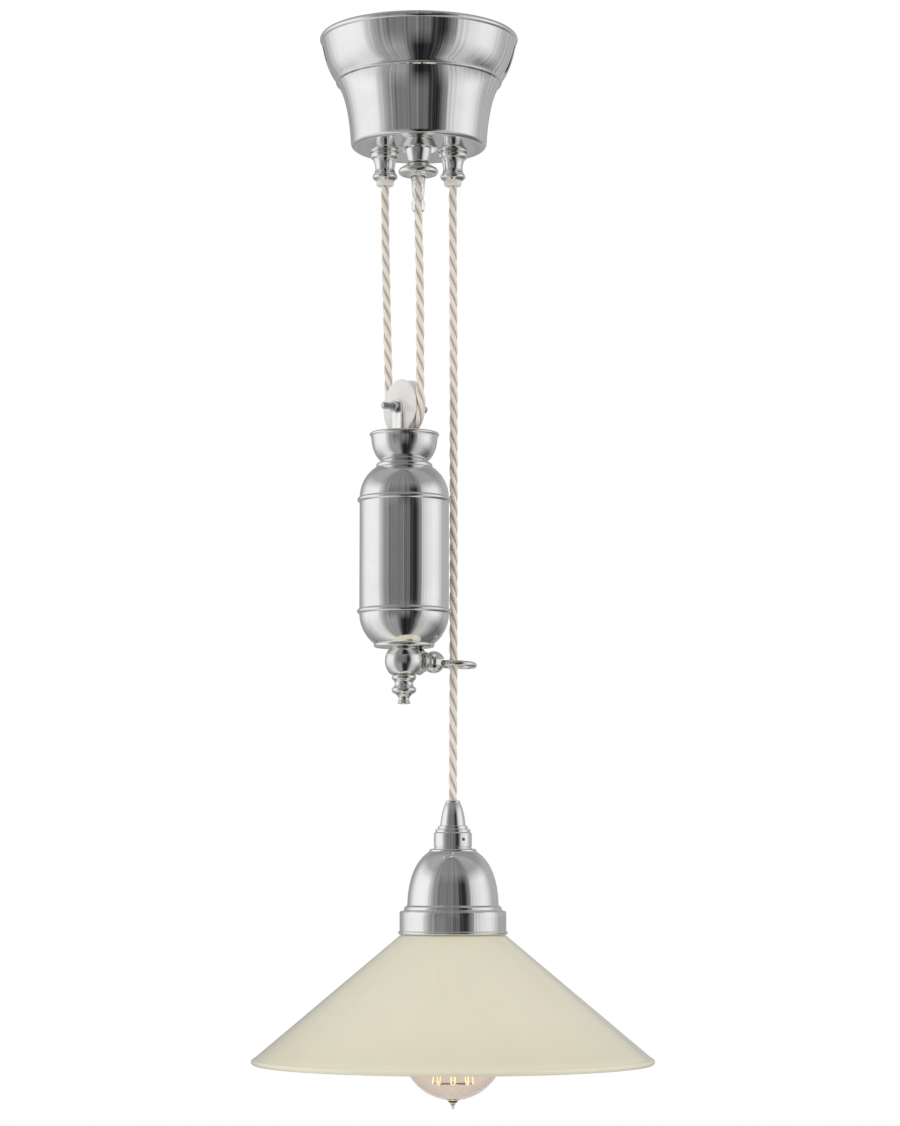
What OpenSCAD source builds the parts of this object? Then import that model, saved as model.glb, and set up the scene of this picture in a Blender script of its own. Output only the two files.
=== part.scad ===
// Rise and fall pendant: a lamp and a counterweight hang from a ceiling canopy on one twisted cord.
// The cord is fixed at the middle gland, goes down round the counterweight's pulley, up through the
// left gland, over the pulley inside the canopy, and down through the right gland and the
// counterweight's guide ring to the lamp. The lamp moves twice as far as the counterweight.
// The origin is the centre of the canopy at the ceiling; +Z is up and -Y faces the viewer.

/* [Cord] */
// Thickness of the twisted cord
cord_d = 6; // [5:0.25:6.5]
// Play round the cord in its bushes and sleeves
cord_play = 0.1; // [0.05:0.05:0.3]
// Play round the cord in the grooves of the pulleys
groove_play = 0.4; // [0.3:0.05:0.6]

/* [Hang] */
// Depth of the counterweight pulley's axle below the ceiling
weight_drop = 287.5; // [260:0.5:300]
// Depth of the tip of the lamp's cord grip below the ceiling
lamp_drop = 582; // [572:1:650]
// Sideways place of the counterweight
weight_x = -10.5; // [-12:0.5:-9]
// Place of the counterweight towards the wall
weight_y = -7.5; // [-9:0.5:-6]

/* [Fits] */
// Gap round a screw thread or a fixed pin
fit_gap = 0.02; // [0.01:0.01:0.05]
// Running gap round an axle
run_gap = 0.05; // [0.03:0.01:0.1]
// Side gap beside a moving piece
side_gap = 0.3; // [0.2:0.05:0.5]

/* [Ceiling bracket] */
// Thickness of the bracket's steel
bracket_t = 2; // [1.5:0.25:3]
// Width of the bracket's strap
strap_w = 28; // [25:1:30]
// Distance between the two ceiling screws
screw_pitch = 60; // [50:1:70]
// Length of each ceiling screw slot
screw_slot_l = 10; // [8:0.5:14]
// Width of each ceiling screw slot
screw_slot_w = 5; // [4:0.25:6]
// Diameter of the hole for the supply cable
supply_hole_d = 20; // [12:1:22]
// Gap between the strap's ends and the canopy
strap_end_gap = 9; // [7:0.5:12]
// Length of the lugs that hold the spring clips
lug_h = 16; // [12:1:20]
// Width of the lugs
lug_w = 10; // [8:0.5:12]
// Distance of the lugs in front of the canopy's centre
lug_front = 8; // [7:0.5:9]
// Diameter of the earth screw
earth_screw_d = 4; // [3:0.5:4.5]
// Distance of the earth screw from the nearer ceiling screw's slot
earth_gap = 8; // [7:0.5:10]

/* [Spring clips] */
// Thickness of the clip wire
clip_wire_d = 1.4; // [1:0.1:1.6]
// Distance between the two legs of a clip
clip_leg_gap = 3.2; // [2.8:0.1:3.6]
// Width of the slots in the canopy for the clips
clip_slot_w = 5.4; // [5.4:0.1:6.5]

/* [Canopy] */
// Diameter of the canopy over its rolled rim
canopy_d = 151.2; // [140:1:160]
// Diameter of the canopy's waist at the raised ring
canopy_waist_d = 125; // [120:1:128]
// Diameter of the canopy's lower wall
canopy_base_d = 103.4; // [98:1:108]
// Height of the canopy
canopy_h = 87; // [84:1:100]
// Height of the part above the raised ring
canopy_bell_h = 35; // [32:1:38]
// Thickness of the canopy's sheet
canopy_wall = 1.2; // [1:0.1:1.6]
// Thickness of the rolled rim
canopy_rim = 4.8; // [4:0.2:6]
// Radius of the canopy's lower corner
canopy_corner = 4; // [3:0.5:6]

/* [Glands] */
// Distance between the three cord glands
gland_pitch = 52; // [50:0.5:54]
// Diameter of the gland flanges
gland_d = 22.6; // [21:0.2:24]
// Height of the two outer glands
gland_h = 21.6; // [20:0.2:28]
// Diameter of the glands' waist
gland_waist_d = 15; // [13.5:0.5:16]
// Diameter of the bead at the lower end of the outer glands
gland_bead_d = 19.2; // [18:0.2:21]
// Diameter of the glands' threaded stems
gland_stem_d = 10; // [9.5:0.5:11]
// Diameter of the white bushes
bush_d = 13.4; // [12.4:0.2:14]
// Height of the bush below its gland
bush_h = 4; // [3:0.5:6]
// Diameter of the bell at the lower end of the middle gland
middle_bell_d = 29.8; // [27:0.2:31]
// Height of the middle gland
middle_gland_h = 28; // [25:0.5:30]
// Diameter of the domed washer over the middle gland
washer_d = 30; // [27:0.5:32]
// Height of the domed washer
washer_h = 7.6; // [5:0.2:8.6]
// Thickness of the domed washer
washer_t = 0.9; // [0.7:0.1:1.2]
// Width across the flats of the gland nuts
gland_nut_af = 17; // [16:0.5:18]
// Height of the gland nuts
gland_nut_h = 5; // [4:0.5:6]

/* [Strain relief] */
// Diameter of the clear sleeve at its upper end
relief_d = 11; // [10:0.2:11.4]
// Diameter of the clear sleeve above its end bead
relief_tip_d = 8; // [7.5:0.1:9]
// Length of the clear sleeve below the middle gland
relief_l = 27; // [24:1:28]
// Diameter of the end bead
relief_bead_d = 10.8; // [10:0.2:12]
// Height of the end bead
relief_bead_h = 8; // [6:0.5:9]

/* [Cord clamp] */
// Diameter of the clamp that holds the dead end of the cord
clamp_d = 16; // [14:0.5:18]
// Height of the clamp
clamp_h = 8; // [7:0.5:12]
// Diameter of the clamp's screw
clamp_screw_d = 3; // [2.5:0.5:4]

/* [Terminal block] */
// Length of the terminal block
block_l = 30; // [26:1:34]
// Width of the terminal block
block_w = 16; // [14:1:18]
// Height of the terminal block
block_h = 14; // [12:1:16]
// Diameter of the block's fixing screw
block_screw_d = 3; // [2.5:0.5:3.5]
// Diameter of the wire bores
wire_bore_d = 3.4; // [3:0.1:3.8]
// Diameter of the terminal screws
terminal_screw_d = 3.4; // [3:0.2:4]

/* [Pulleys] */
// Thickness of both porcelain pulleys
pulley_w = 10; // [9:0.5:12]
// Depth of the cord's centre below the pulleys' flanges
cord_sink = 0.5; // [0:0.1:1.5]
// Diameter of the counterweight pulley
pulley_d = 42; // [40:1:44]
// Diameter of the pulleys' hubs
hub_d = 15; // [13:0.5:18]
// Height of the hub above each face of a pulley
hub_h = 0.5; // [0.3:0.1:0.8]
// Turn of the counterweight pulley from the line straight towards the viewer
pulley_turn = 36; // [30:1:42]

/* [Canopy pulley mount] */
// Height of the canopy pulley's axle above the canopy's floor
yoke_h = 40; // [36:0.5:44]
// Thickness of the yoke's plate
yoke_t = 1.5; // [1.2:0.1:2]
// Width of the yoke's ears at the foot
yoke_foot_w = 26; // [22:1:28]
// Diameter of the round end of the yoke's ears
yoke_ear_d = 14; // [12:0.5:18]
// Diameter of the canopy pulley's axle
canopy_axle_d = 6; // [5:0.5:8]
// Thickness of the two retaining rings on the axle
ring_clip_t = 1; // [0.8:0.1:1.5]

/* [Stirrup and axle] */
// Width of the stirrup's strap
stirrup_w = 11; // [10:0.5:13]
// Thickness of the stirrup's strap
stirrup_t = 1.5; // [1.2:0.1:2]
// Diameter of the counterweight pulley's axle
weight_axle_d = 5; // [4.5:0.25:6]
// Length of the counterweight pulley's axle
weight_axle_l = 40; // [36:1:42]
// Width across the flats of the axle nuts
axle_nut_af = 8; // [8:0.5:10]
// Height of the axle nuts
axle_nut_h = 4; // [3:0.5:5]

/* [Cup] */
// Diameter of the cup over its rim bead
cup_d = 52.2; // [50:0.2:56]
// Diameter of the cup's foot
cup_foot_d = 33.2; // [31:0.2:36]
// Height of the cup
cup_h = 22.3; // [21:0.1:25]
// Depth of the cup's rim below the axle
cup_below = 19.2; // [18:0.2:22]
// Thickness of the cup's wall
cup_wall = 1.5; // [1.2:0.1:2]
// Thickness of the cup's rim bead
cup_bead = 2.8; // [2:0.2:3.4]

/* [Counterweight] */
// Diameter of the counterweight's body
weight_d = 67; // [63:0.5:69]
// Height of the counterweight's straight body between its two beads
weight_tube_h = 88; // [80:1:95]
// Height of the upper dome
dome_h = 26.5; // [24:0.5:30]
// Height of the lower dome
bowl_h = 25; // [22:0.5:28]
// Thickness of the counterweight's shell
weight_wall = 1.5; // [1.2:0.1:2]
// Diameter of the lips where the domes meet their necks
lip_d = 42.6; // [40:0.2:45]
// Thickness of the counterweight's two beads
weight_bead = 4; // [3:0.2:4.6]
// Diameter of the tie rod
tie_d = 6; // [5:0.5:8]
// Width across the flats of the tie rod's nut
tie_nut_af = 10; // [9:0.5:11]
// Height of the tie rod's nut
tie_nut_h = 5; // [4:0.5:6]
// Gap between the iron ballast and the shell
ballast_gap = 0.5; // [0.3:0.1:1]

/* [Ball and finial] */
// Diameter of the ball below the counterweight
ball_d = 28.6; // [27:0.2:30]
// Height of the ball between its two flats
ball_h = 20.2; // [19:0.2:22]
// Diameter of the finial's beads
finial_d = 18.4; // [17:0.2:19]
// Height of the finial
finial_h = 22; // [20:0.5:25]
// Diameter of the finial's end button
finial_end_d = 9.5; // [8:0.5:11]

/* [Guide] */
// Diameter of the arm's flange against the ball
arm_flange_d = 19.8; // [18:0.2:20]
// Diameter of the arm's second disc
arm_disc_d = 15.4; // [14:0.2:17]
// Diameter of the slotted ball at the arm's end
fork_d = 16.6; // [16:0.2:18]
// Distance of the guide pin from the counterweight's axis
guide_pin_out = 26; // [25:0.5:27]
// Diameter of the guide pin
guide_pin_d = 3; // [2.5:0.25:4]
// Outer diameter of the guide ring
guide_ring_d = 31; // [29:0.5:32]
// Thickness of the guide ring
guide_wire_d = 4.2; // [3.6:0.1:4.4]
// Height of the slot in the ball
fork_slot_h = 5.2; // [5.2:0.1:6.4]
// Distance of the ring's centre beyond the lamp's cord
ring_beyond = 3; // [1:0.5:4]
// Droop of the guide ring
ring_droop = 3; // [0:0.5:3]

/* [Lamp cap] */
// Diameter of the cord grip's tip
grip_tip_d = 10.8; // [10.4:0.2:12]
// Diameter of the cord grip's foot
grip_d = 19; // [17:0.2:20]
// Height of the cord grip
grip_h = 18.8; // [17:0.2:22]
// Diameter of the collar below the cord grip
collar_d = 28.4; // [26:0.2:31]
// Height of the collar
collar_h = 17; // [15:0.5:19]
// Diameter of the cap's lip round the collar
cap_lip_d = 35.6; // [34:0.2:38]
// Diameter of the cap's dome
cap_d = 68.4; // [65:0.2:71]
// Height of the cap down to its ledge
cap_dome_h = 43; // [40:0.5:48]
// Diameter of the cap's band
band_d = 79.8; // [78:0.2:82]
// Height of the cap's band with its ledge
band_h = 19.5; // [18:0.5:22]
// Thickness of the cap's sheet
cap_wall = 1.2; // [1:0.1:1.6]
// Thickness of the bead round the cap's lower edge
cap_bead = 2.8; // [2:0.2:3.4]
// Diameter of the threaded tube through the cap
tube_d = 10; // [9:0.5:12]
// Width across the flats of the nut on the threaded tube
tube_nut_af = 14; // [13:0.5:16]
// Height of the nut on the threaded tube
tube_nut_h = 4; // [3:0.5:5]

/* [Lampholder] */
// Diameter of the lampholder's cover
holder_d = 44; // [42:0.5:48]
// Height of the lampholder's cover
holder_h = 25; // [23:0.5:27]
// Diameter of the lampholder's threaded skirt
skirt_d = 39.6; // [38:0.2:41]
// Height of the skirt below the shade's seat
skirt_h = 34; // [31:0.5:36]
// Thickness of the lampholder's shells
holder_wall = 1.2; // [1:0.1:1.5]
// Diameter of the flange that the shade is clamped to
holder_flange_d = 50; // [47:0.5:54]
// Thickness of the flange
holder_flange_t = 1.5; // [1.2:0.1:2]
// Diameter of the ring nut under the shade
shade_ring_d = 57; // [54:0.5:60]
// Height of the ring nut
shade_ring_h = 5; // [4:0.5:7]

/* [Shade] */
// Diameter of the shade
shade_d = 300; // [260:2:320]
// Height of the shade
shade_h = 98; // [92:0.5:120]
// Diameter of the shade's flat top
shade_top_d = 72; // [71:0.2:73]
// Thickness of the glass
shade_wall = 4; // [3:0.25:5]
// Height of the shade's turned down edge
shade_lip_h = 5.5; // [4:0.5:8]
// Gap between the cap's lower bead and the glass
cap_glass_gap = 0.1; // [0.05:0.05:0.4]
// Gap between the skirt and the hole in the glass
shade_hole_gap = 0.8; // [0.6:0.1:1.5]

/* [Bulb] */
// Diameter of the bulb's globe
globe_d = 76; // [70:1:80]
// Length of the bulb without its drawn tip
bulb_l = 118; // [112:1:124]
// Length of the drawn tip
bulb_tip_l = 6.5; // [4:0.5:9]
// Thickness of the bulb's glass
bulb_wall = 0.9; // [0.7:0.1:1.2]
// Diameter of the bulb's screw cap
bulb_cap_d = 26.2; // [25.6:0.2:26.6]
// Height of the bulb's screw cap
bulb_cap_h = 27; // [25:0.5:28]
// Diameter of the bulb's glass stem
stem_d = 6; // [5.6:0.2:6.4]
// Diameter of the flare at the stem's foot
stem_flare_d = 13; // [12:0.5:14]
// Distance of the flare below the bulb's screw cap
stem_flare_drop = 8; // [7:0.5:9]
// Distance of the stem's disc below the bulb's screw cap
stem_disc_drop = 36; // [34:1:38]
// Height of the stem's end above the globe's lowest point
stem_end_lift = 12; // [11:0.5:13]
// Diameter of the filament cage at its lower end
filament_d = 30; // [24:1:36]
// Number of the filament's lower hooks
filament_hooks = 8; // [6:1:10]

/* [Hidden] */
$fn = 96;
far = 400;      // longer than anything that is cut

// Colours
nickel = "silver";
brass = "gold";
steel = "lightslategray";
porcelain = "whitesmoke";
textile = "bisque";
plastic = "ivory";
iron = "dimgray";

// Canopy and glands
canopy_r = canopy_d / 2;
floor_z = -canopy_h + canopy_wall;
back_y = gland_pitch / (2 * sqrt(3));
front_y = -gland_pitch / sqrt(3);
left_at = [-gland_pitch / 2, back_y];
right_at = [gland_pitch / 2, back_y];
middle_at = [0, front_y];
cord_r = cord_d / 2;
cord_hole_r = cord_r + cord_play;
stem_hole_r = gland_stem_d / 2 + fit_gap;
bush_neck_d = gland_stem_d - 0.4;
bush_end_z = -canopy_h - gland_h - bush_h;
middle_end_z = -canopy_h - middle_gland_h;
relief_end_z = middle_end_z - relief_l;
nut_z = floor_z + yoke_t;
clamp_z = nut_z + gland_nut_h;
block_z = -bracket_t - block_h;
strap_half = canopy_r - strap_end_gap;

// Pulleys: the cord's own radius on each, and their places
weight_cord_r = pulley_d / 2 - cord_sink;
canopy_cord_r = gland_pitch / 2;
canopy_pulley_d = 2 * (canopy_cord_r + cord_sink);
canopy_axle_z = floor_z + yoke_h;
hub_w = pulley_w + 2 * hub_h;
ear_in = hub_w / 2 + side_gap;

// Heights in the counterweight, down from its axle
cup_foot_z = -cup_below - cup_h;
cup_floor_z = cup_foot_z + cup_wall;
tube_top_z = cup_foot_z - dome_h;
tube_end_z = tube_top_z - weight_tube_h;
bowl_end_z = tube_end_z - bowl_h;
ball_z = bowl_end_z - ball_h / 2;
finial_z = bowl_end_z - ball_h;
rod_in_ball = 7;
weight_r = weight_d / 2;
lip_r = lip_d / 2;

// The arm points from the counterweight to the lamp's cord
arm_angle = atan2(right_at[1] - weight_y, right_at[0] - weight_x);
lamp_out = norm([right_at[0] - weight_x, right_at[1] - weight_y]);
ring_out = lamp_out + ring_beyond - guide_pin_out;
ring_r = (guide_ring_d - guide_wire_d) / 2;

// Heights in the lamp, down from the cord grip's tip
collar_z = -grip_h;
cap_z = collar_z - collar_h;
ledge_z = cap_z - cap_dome_h;
band_z = ledge_z - band_h;
tube_hole_r = tube_d / 2 + fit_gap;
tube_top = -grip_h + 8;
// The glass's straight flank, from its flat top to its turned down edge
shade_r = shade_d / 2;
shade_top_r = shade_top_d / 2;
lip_turn = 3.5;
flank = atan2(shade_h - shade_lip_h, shade_r - lip_turn - shade_top_r);
// The cap's bead touches the glass here
bead_r = band_d / 2 - 0.4;
bead_clear = (cap_bead / 2 + cap_glass_gap) / cos(flank);
shade_z = band_z - bead_clear + (bead_r - shade_top_r) * tan(flank);
holder_z = shade_z + holder_h;
core_top_z = holder_z - 13;
socket_z = shade_z - 6;
bulb_top_z = socket_z - 0.5;
globe_z = bulb_top_z - bulb_l + globe_d / 2;

// Routes of the three free cord runs
cord_sides = 10;
left_route = [
    [-26, 15, -112.6], [-26, 15, -120], [-25.9, 14.9, -130], [-25.8, 14.7, -141], [-25.6, 14.3, -153],
    [-25.3, 13.9, -165], [-25.1, 13.5, -177], [-24.8, 13.1, -189], [-24.5, 12.6, -201],
    [-24.2, 12.1, -213], [-23.9, 11.6, -225], [-23.6, 11.1, -237], [-23.3, 10.5, -249],
    [-23, 9.9, -261], [-22.7, 9.4, -273], [-22.55, 9.1, -282], [-22.55, 9.1, -287.5]];
middle_route = [
    [0, -30, -142], [0, -30, -146], [0.2, -29.8, -155], [0.5, -29.5, -165], [0.8, -29.1, -175],
    [1, -28.6, -185], [1.2, -28.1, -195], [1.3, -27.6, -205], [1.4, -27.1, -215], [1.4, -26.6, -225],
    [1.5, -26.1, -235], [1.5, -25.6, -245], [1.5, -25.1, -255], [1.5, -24.6, -265],
    [1.55, -24.2, -275], [1.55, -24.1, -283], [1.55, -24.1, -287.5]];
lamp_route = [
    [26, 15, -112.6], [26, 15, -122], [26, 15, -138], [26.1, 15, -154], [26.2, 15, -170],
    [26.3, 15, -186], [26.4, 15, -202], [26.4, 15, -218], [26.5, 15, -234], [26.5, 15, -250],
    [26.6, 15, -266], [26.6, 15, -282], [26.6, 15, -298], [26.6, 15, -314], [26.6, 15, -330],
    [26.6, 15, -346], [26.6, 15, -362], [26.6, 15, -378], [26.6, 15, -394], [26.6, 15, -410],
    [26.5, 15, -426], [26.5, 15, -442], [26.5, 15, -458], [26.4, 15, -474], [26.4, 15, -490],
    [26.3, 15, -506], [26.2, 15, -522], [26.1, 15, -538], [26.1, 15, -554], [26, 15, -566],
    [26, 15, -576], [26, 15, -582]];

// Outline helpers: points are [radius, height]
function unit(v) = v / norm(v);
function curve(a, b, c, d, n = 10) = [
    for (i = [0 : n]) let (t = i / n, s = 1 - t)
        s * s * s * a + 3 * s * s * t * b + 3 * s * t * t * c + t * t * t * d];
function arc(r, z, rad, from, to, n = 8) = [
    for (i = [0 : n]) let (a = from + (to - from) * i / n) [r + rad * cos(a), z + rad * sin(a)]];
function backwards(points) = [for (i = [len(points) - 1 : -1 : 0]) points[i]];
// The same outline, drawn downwards, moved inwards by the thickness of the wall
function inset(points, wall) = [
    for (i = [0 : len(points) - 1])
        let (t = unit(points[min(i + 1, len(points) - 1)] - points[max(i - 1, 0)]))
            points[i] + wall * [t[1], -t[0]]];

module turned(points) {
    rotate_extrude() polygon(points);
}

module shell(outline, wall) {
    turned(concat(outline, backwards(inset(outline, wall))));
}

module bead(r, z, thickness) {
    rotate_extrude() translate([r, z]) circle(d = thickness, $fn = 32);
}

module rod(r, low, high) {
    translate([0, 0, low]) cylinder(r = r, h = high - low);
}

module hex_nut(af, h, hole_r) {
    difference() {
        cylinder(d = af / cos(30), h = h, $fn = 6);
        translate([0, 0, -1]) cylinder(r = hole_r, h = h + 2);
    }
}

module plate(x, y, z, size) {
    translate([x, y, z]) cube(size);
}

// A closed round tube along a route
module tube_along(route, r, sides) {
    last = len(route) - 1;
    points = [
        for (i = [0 : last])
            let (t = unit(route[min(i + 1, last)] - route[max(i - 1, 0)]),
                 near = abs(t[1]) < 0.8 ? [0, 1, 0] : [0, 0, 1],
                 u = unit(cross(near, t)), w = cross(t, u))
                for (k = [0 : sides - 1])
                    route[i] + r * (cos(k * 360 / sides) * u + sin(k * 360 / sides) * w)];
    flanks = [
        for (i = [0 : last - 1], k = [0 : sides - 1])
            let (a = i * sides + k, b = i * sides + (k + 1) % sides)
                each [[a, a + sides, b + sides], [a, b + sides, b]]];
    start = [[for (k = [0 : sides - 1]) k]];
    end = [[for (k = [sides - 1 : -1 : 0]) last * sides + k]];
    polyhedron(points, concat(start, flanks, end), convexity = 6);
}

module at_weight() {
    translate([weight_x, weight_y, -weight_drop]) children();
}

module at_lamp() {
    translate([right_at[0], right_at[1], -lamp_drop]) children();
}

// The child's +Z becomes the counterweight axle's direction, towards the left and the viewer
module along_axle() {
    rotate([0, 0, pulley_turn]) rotate([0, -90, 0]) children();
}

// The child's +Z becomes the arm's direction, from the ball towards the lamp's cord
module along_arm() {
    translate([0, 0, ball_z]) rotate([0, 0, arm_angle]) rotate([0, 90, 0]) children();
}

// ---- Canopy ----

// The spun sides of the canopy, from the rim to the raised ring and on to the lower wall
waist_r = canopy_waist_d / 2;
base_r = canopy_base_d / 2;
bell = curve([canopy_r - 1.2, -5], [canopy_r - 3, -13], [waist_r + 8.2, -canopy_bell_h + 9.5],
    [waist_r, -canopy_bell_h]);
flare = curve([waist_r - 0.4, -canopy_bell_h - 1.5], [waist_r - 5, -canopy_bell_h - 9],
    [base_r + 1.8, -canopy_bell_h - 21], [base_r, -canopy_h + canopy_corner]);
canopy_outline = concat([[canopy_r - 1.2, -canopy_rim / 2]], bell, flare,
    arc(base_r - canopy_corner, -canopy_h + canopy_corner, canopy_corner, 0, -90), [[0, -canopy_h]]);
// Points of the bell where the clips' slots start and end
slot_top = bell[2];
right_slot_end = bell[8];
left_slot_end = bell[5];

module clip_slot(side, end) {
    mirror([side < 0 ? 1 : 0, 0, 0])
        translate([0, -lug_front, 0]) rotate([0, 90, 0]) {
            for (z = [slot_top[1], end[1]])
                translate([-z, 0, 0]) cylinder(d = clip_slot_w, h = far / 2);
            translate([-slot_top[1], -clip_slot_w / 2, 0])
                cube([slot_top[1] - end[1], clip_slot_w, far / 2]);
        }
}

module canopy_shell() {
    color(nickel) difference() {
        union() {
            shell(canopy_outline, canopy_wall);
            bead(canopy_r - canopy_rim / 2, -canopy_rim / 2, canopy_rim);
            bead(waist_r - 0.1, -canopy_bell_h - 0.7, 1.9);
        }
        for (p = [left_at, right_at, middle_at])
            translate([p[0], p[1], -canopy_h - 1]) cylinder(r = stem_hole_r, h = canopy_wall + 2);
        clip_slot(1, right_slot_end);
        clip_slot(-1, left_slot_end);
    }
}

module screw_slot(x) {
    straight = screw_slot_l - screw_slot_w;
    for (s = [-1, 1])
        translate([x + s * straight / 2, 0, -far / 2]) cylinder(d = screw_slot_w, h = far);
    translate([x - straight / 2, -screw_slot_w / 2, -far / 2]) cube([straight, screw_slot_w, far]);
}

lug_x = strap_half - bracket_t - 1;
tab_half = block_l / 2 + 2;
tab_front = front_y - block_w / 2 - 2;
earth_x = screw_pitch / 2 + screw_slot_l / 2 + earth_gap;

module ceiling_bracket() {
    color(steel) difference() {
        union() {
            intersection() {
                rod(strap_half, -bracket_t, 0);
                plate(-far / 2, -strap_w / 2, -bracket_t, [far, strap_w, bracket_t]);
            }
            plate(-tab_half, tab_front, -bracket_t, [2 * tab_half, -tab_front, bracket_t]);
            for (s = [-1, 1])
                translate([s * (lug_x + bracket_t / 2) - bracket_t / 2, -lug_front - lug_w / 2, -lug_h])
                    cube([bracket_t, lug_w, lug_h]);
        }
        rod(supply_hole_d / 2, -bracket_t - 1, 1);
        screw_slot(screw_pitch / 2);
        screw_slot(-screw_pitch / 2);
        translate([0, front_y, -bracket_t - 1])
            cylinder(r = block_screw_d / 2 + fit_gap, h = bracket_t + 2);
        translate([-earth_x, 0, -bracket_t - 1])
            cylinder(r = earth_screw_d / 2 + fit_gap, h = bracket_t + 2);
        for (s = [-1, 1], k = [-1, 1])
            translate([s * lug_x - bracket_t, -lug_front + k * clip_leg_gap / 2, clip_top_z])
                rotate([0, 90, 0]) cylinder(d = clip_wire_d + 2 * fit_gap, h = 3 * bracket_t);
    }
}

clip_top_z = slot_top[1] - clip_wire_d;
clip_sink = 0.8;

// One wire hairpin: out through the lug and the canopy's slot, down along the slot and back
module clip_wire(end) {
    half = clip_leg_gap / 2;
    y = -lug_front;
    inside = lug_x - bracket_t - 2;
    out = sqrt(pow(slot_top[0], 2) - y * y) - clip_sink;
    low = sqrt(pow(end[0], 2) - y * y) - clip_sink;
    low_z = end[1] - clip_slot_w / 2 + half + clip_wire_d;
    leg = [
        [inside, clip_top_z], [out - 3, clip_top_z], [out - 1, clip_top_z - 0.4],
        [out - 0.2, clip_top_z - 1.6], [low, low_z]];
    tube_along(concat(
        [for (p = leg) [p[0], y - half, p[1]]],
        [for (i = [1 : 5]) [low, y - half * cos(30 * i), low_z - half * sin(30 * i)]],
        [for (p = backwards(leg)) [p[0], y + half, p[1]]]), clip_wire_d / 2, 8);
}

module spring_clips() {
    color(steel) {
        clip_wire(right_slot_end);
        mirror([1, 0, 0]) clip_wire(left_slot_end);
    }
}

// ---- Glands ----

flange_r = gland_d / 2;
gland_waist_r = gland_waist_d / 2;
gland_bead_r = gland_bead_d / 2;
gland_bore_r = cord_r + 0.6;
bush_neck_r = bush_neck_d / 2;
bush_neck_h = 7;
gland_outline = concat(
    [[gland_bore_r, 0]],
    curve([flange_r - 0.2, 0], [flange_r + 0.4, -1.5], [flange_r, -3], [flange_r - 1, -4.2], 6),
    [[flange_r - 1.9, -4.6]],
    curve([flange_r - 2.1, -5], [gland_waist_r + 0.9, -6.6], [gland_waist_r, -8.5],
        [gland_waist_r - 0.1, -13], 8),
    curve([gland_waist_r, -gland_h + 8.6], [gland_waist_r + 0.2, -gland_h + 6.6],
        [gland_waist_r + 0.8, -gland_h + 6], [gland_bead_r - 0.7, -gland_h + 5.2], 5),
    arc(gland_bead_r - 2, -gland_h + 3.2, 2, 50, -60, 7),
    [[bush_d / 2 + 0.2, -gland_h], [gland_bore_r, -gland_h]]);

module outer_gland() {
    difference() {
        union() {
            turned(gland_outline);
            rod(gland_stem_d / 2, 0, canopy_wall + yoke_t + gland_nut_h + 1);
        }
        rod(gland_bore_r, -far, far);
        rod(bush_neck_r + fit_gap, -gland_h - 1, -gland_h + bush_neck_h);
    }
}

module left_gland() {
    color(nickel) translate([left_at[0], left_at[1], -canopy_h]) outer_gland();
}

module right_gland() {
    color(nickel) translate([right_at[0], right_at[1], -canopy_h]) outer_gland();
}

washer_r = washer_d / 2;
module domed_washer() {
    color(nickel) translate([middle_at[0], middle_at[1], -canopy_h])
        difference() {
            shell(concat([[0, 0]],
                curve([flange_r, 0], [flange_r + 1, -1], [washer_r - 1.2, -washer_h + 3],
                    [washer_r, -washer_h], 8)), washer_t);
            rod(stem_hole_r, -far, far);
        }
}

bell_r = middle_bell_d / 2;
middle_bore_r = relief_d / 2 + 0.6 + fit_gap;
middle_outline = concat(
    [[gland_bore_r, -washer_t], [flange_r - 1, -washer_t]],
    curve([flange_r - 0.8, -washer_t - 1], [flange_r - 0.9, -9], [gland_waist_r + 1.4, -13],
        [gland_waist_r + 0.2, -middle_gland_h + 10.5], 9),
    curve([gland_waist_r + 0.3, -middle_gland_h + 9.5], [gland_waist_r + 1, -middle_gland_h + 6],
        [bell_r - 4, -middle_gland_h + 5], [bell_r - 1.4, -middle_gland_h + 3.4], 7),
    arc(bell_r - 1.5, -middle_gland_h + 2, 1.5, 70, -90, 7),
    [[gland_bore_r, -middle_gland_h + 0.5]]);

module middle_gland() {
    color(nickel) translate([middle_at[0], middle_at[1], -canopy_h]) difference() {
        union() {
            turned(middle_outline);
            rod(gland_stem_d / 2, -washer_t, canopy_wall + yoke_t + gland_nut_h + 1);
        }
        rod(gland_bore_r, -far, far);
        rod(bush_neck_r + 2 + fit_gap, -middle_gland_h - 1, -middle_gland_h + bush_neck_h);
    }
}

module gland_nuts() {
    color(brass) {
        for (p = [left_at, right_at])
            translate([p[0], p[1], nut_z]) hex_nut(gland_nut_af, gland_nut_h, stem_hole_r);
        translate([middle_at[0], middle_at[1], floor_z])
            hex_nut(gland_nut_af, gland_nut_h + yoke_t, stem_hole_r);
    }
}

// White insulating bushes: one in the mouth of each gland
module gland_bushes() {
    color(plastic) {
        for (p = [left_at, right_at])
            translate([p[0], p[1], -canopy_h - gland_h]) difference() {
                union() {
                    rod(bush_neck_r, -0.5, bush_neck_h - 0.2);
                    turned(concat([[0, 0], [bush_d / 2, 0]], arc(bush_d / 2 - 1.5, -bush_h + 1.5, 1.5, 0, -90, 5),
                        [[0, -bush_h]]));
                }
                rod(cord_hole_r, -far, far);
            }
        translate([middle_at[0], middle_at[1], middle_end_z]) difference() {
            rod(bush_neck_r + 2, -0.4, bush_neck_h - 0.2);
            rod(relief_d / 2 + fit_gap, -1, bush_neck_h - 2);
            rod(cord_hole_r, -far, far);
        }
    }
}

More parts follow.
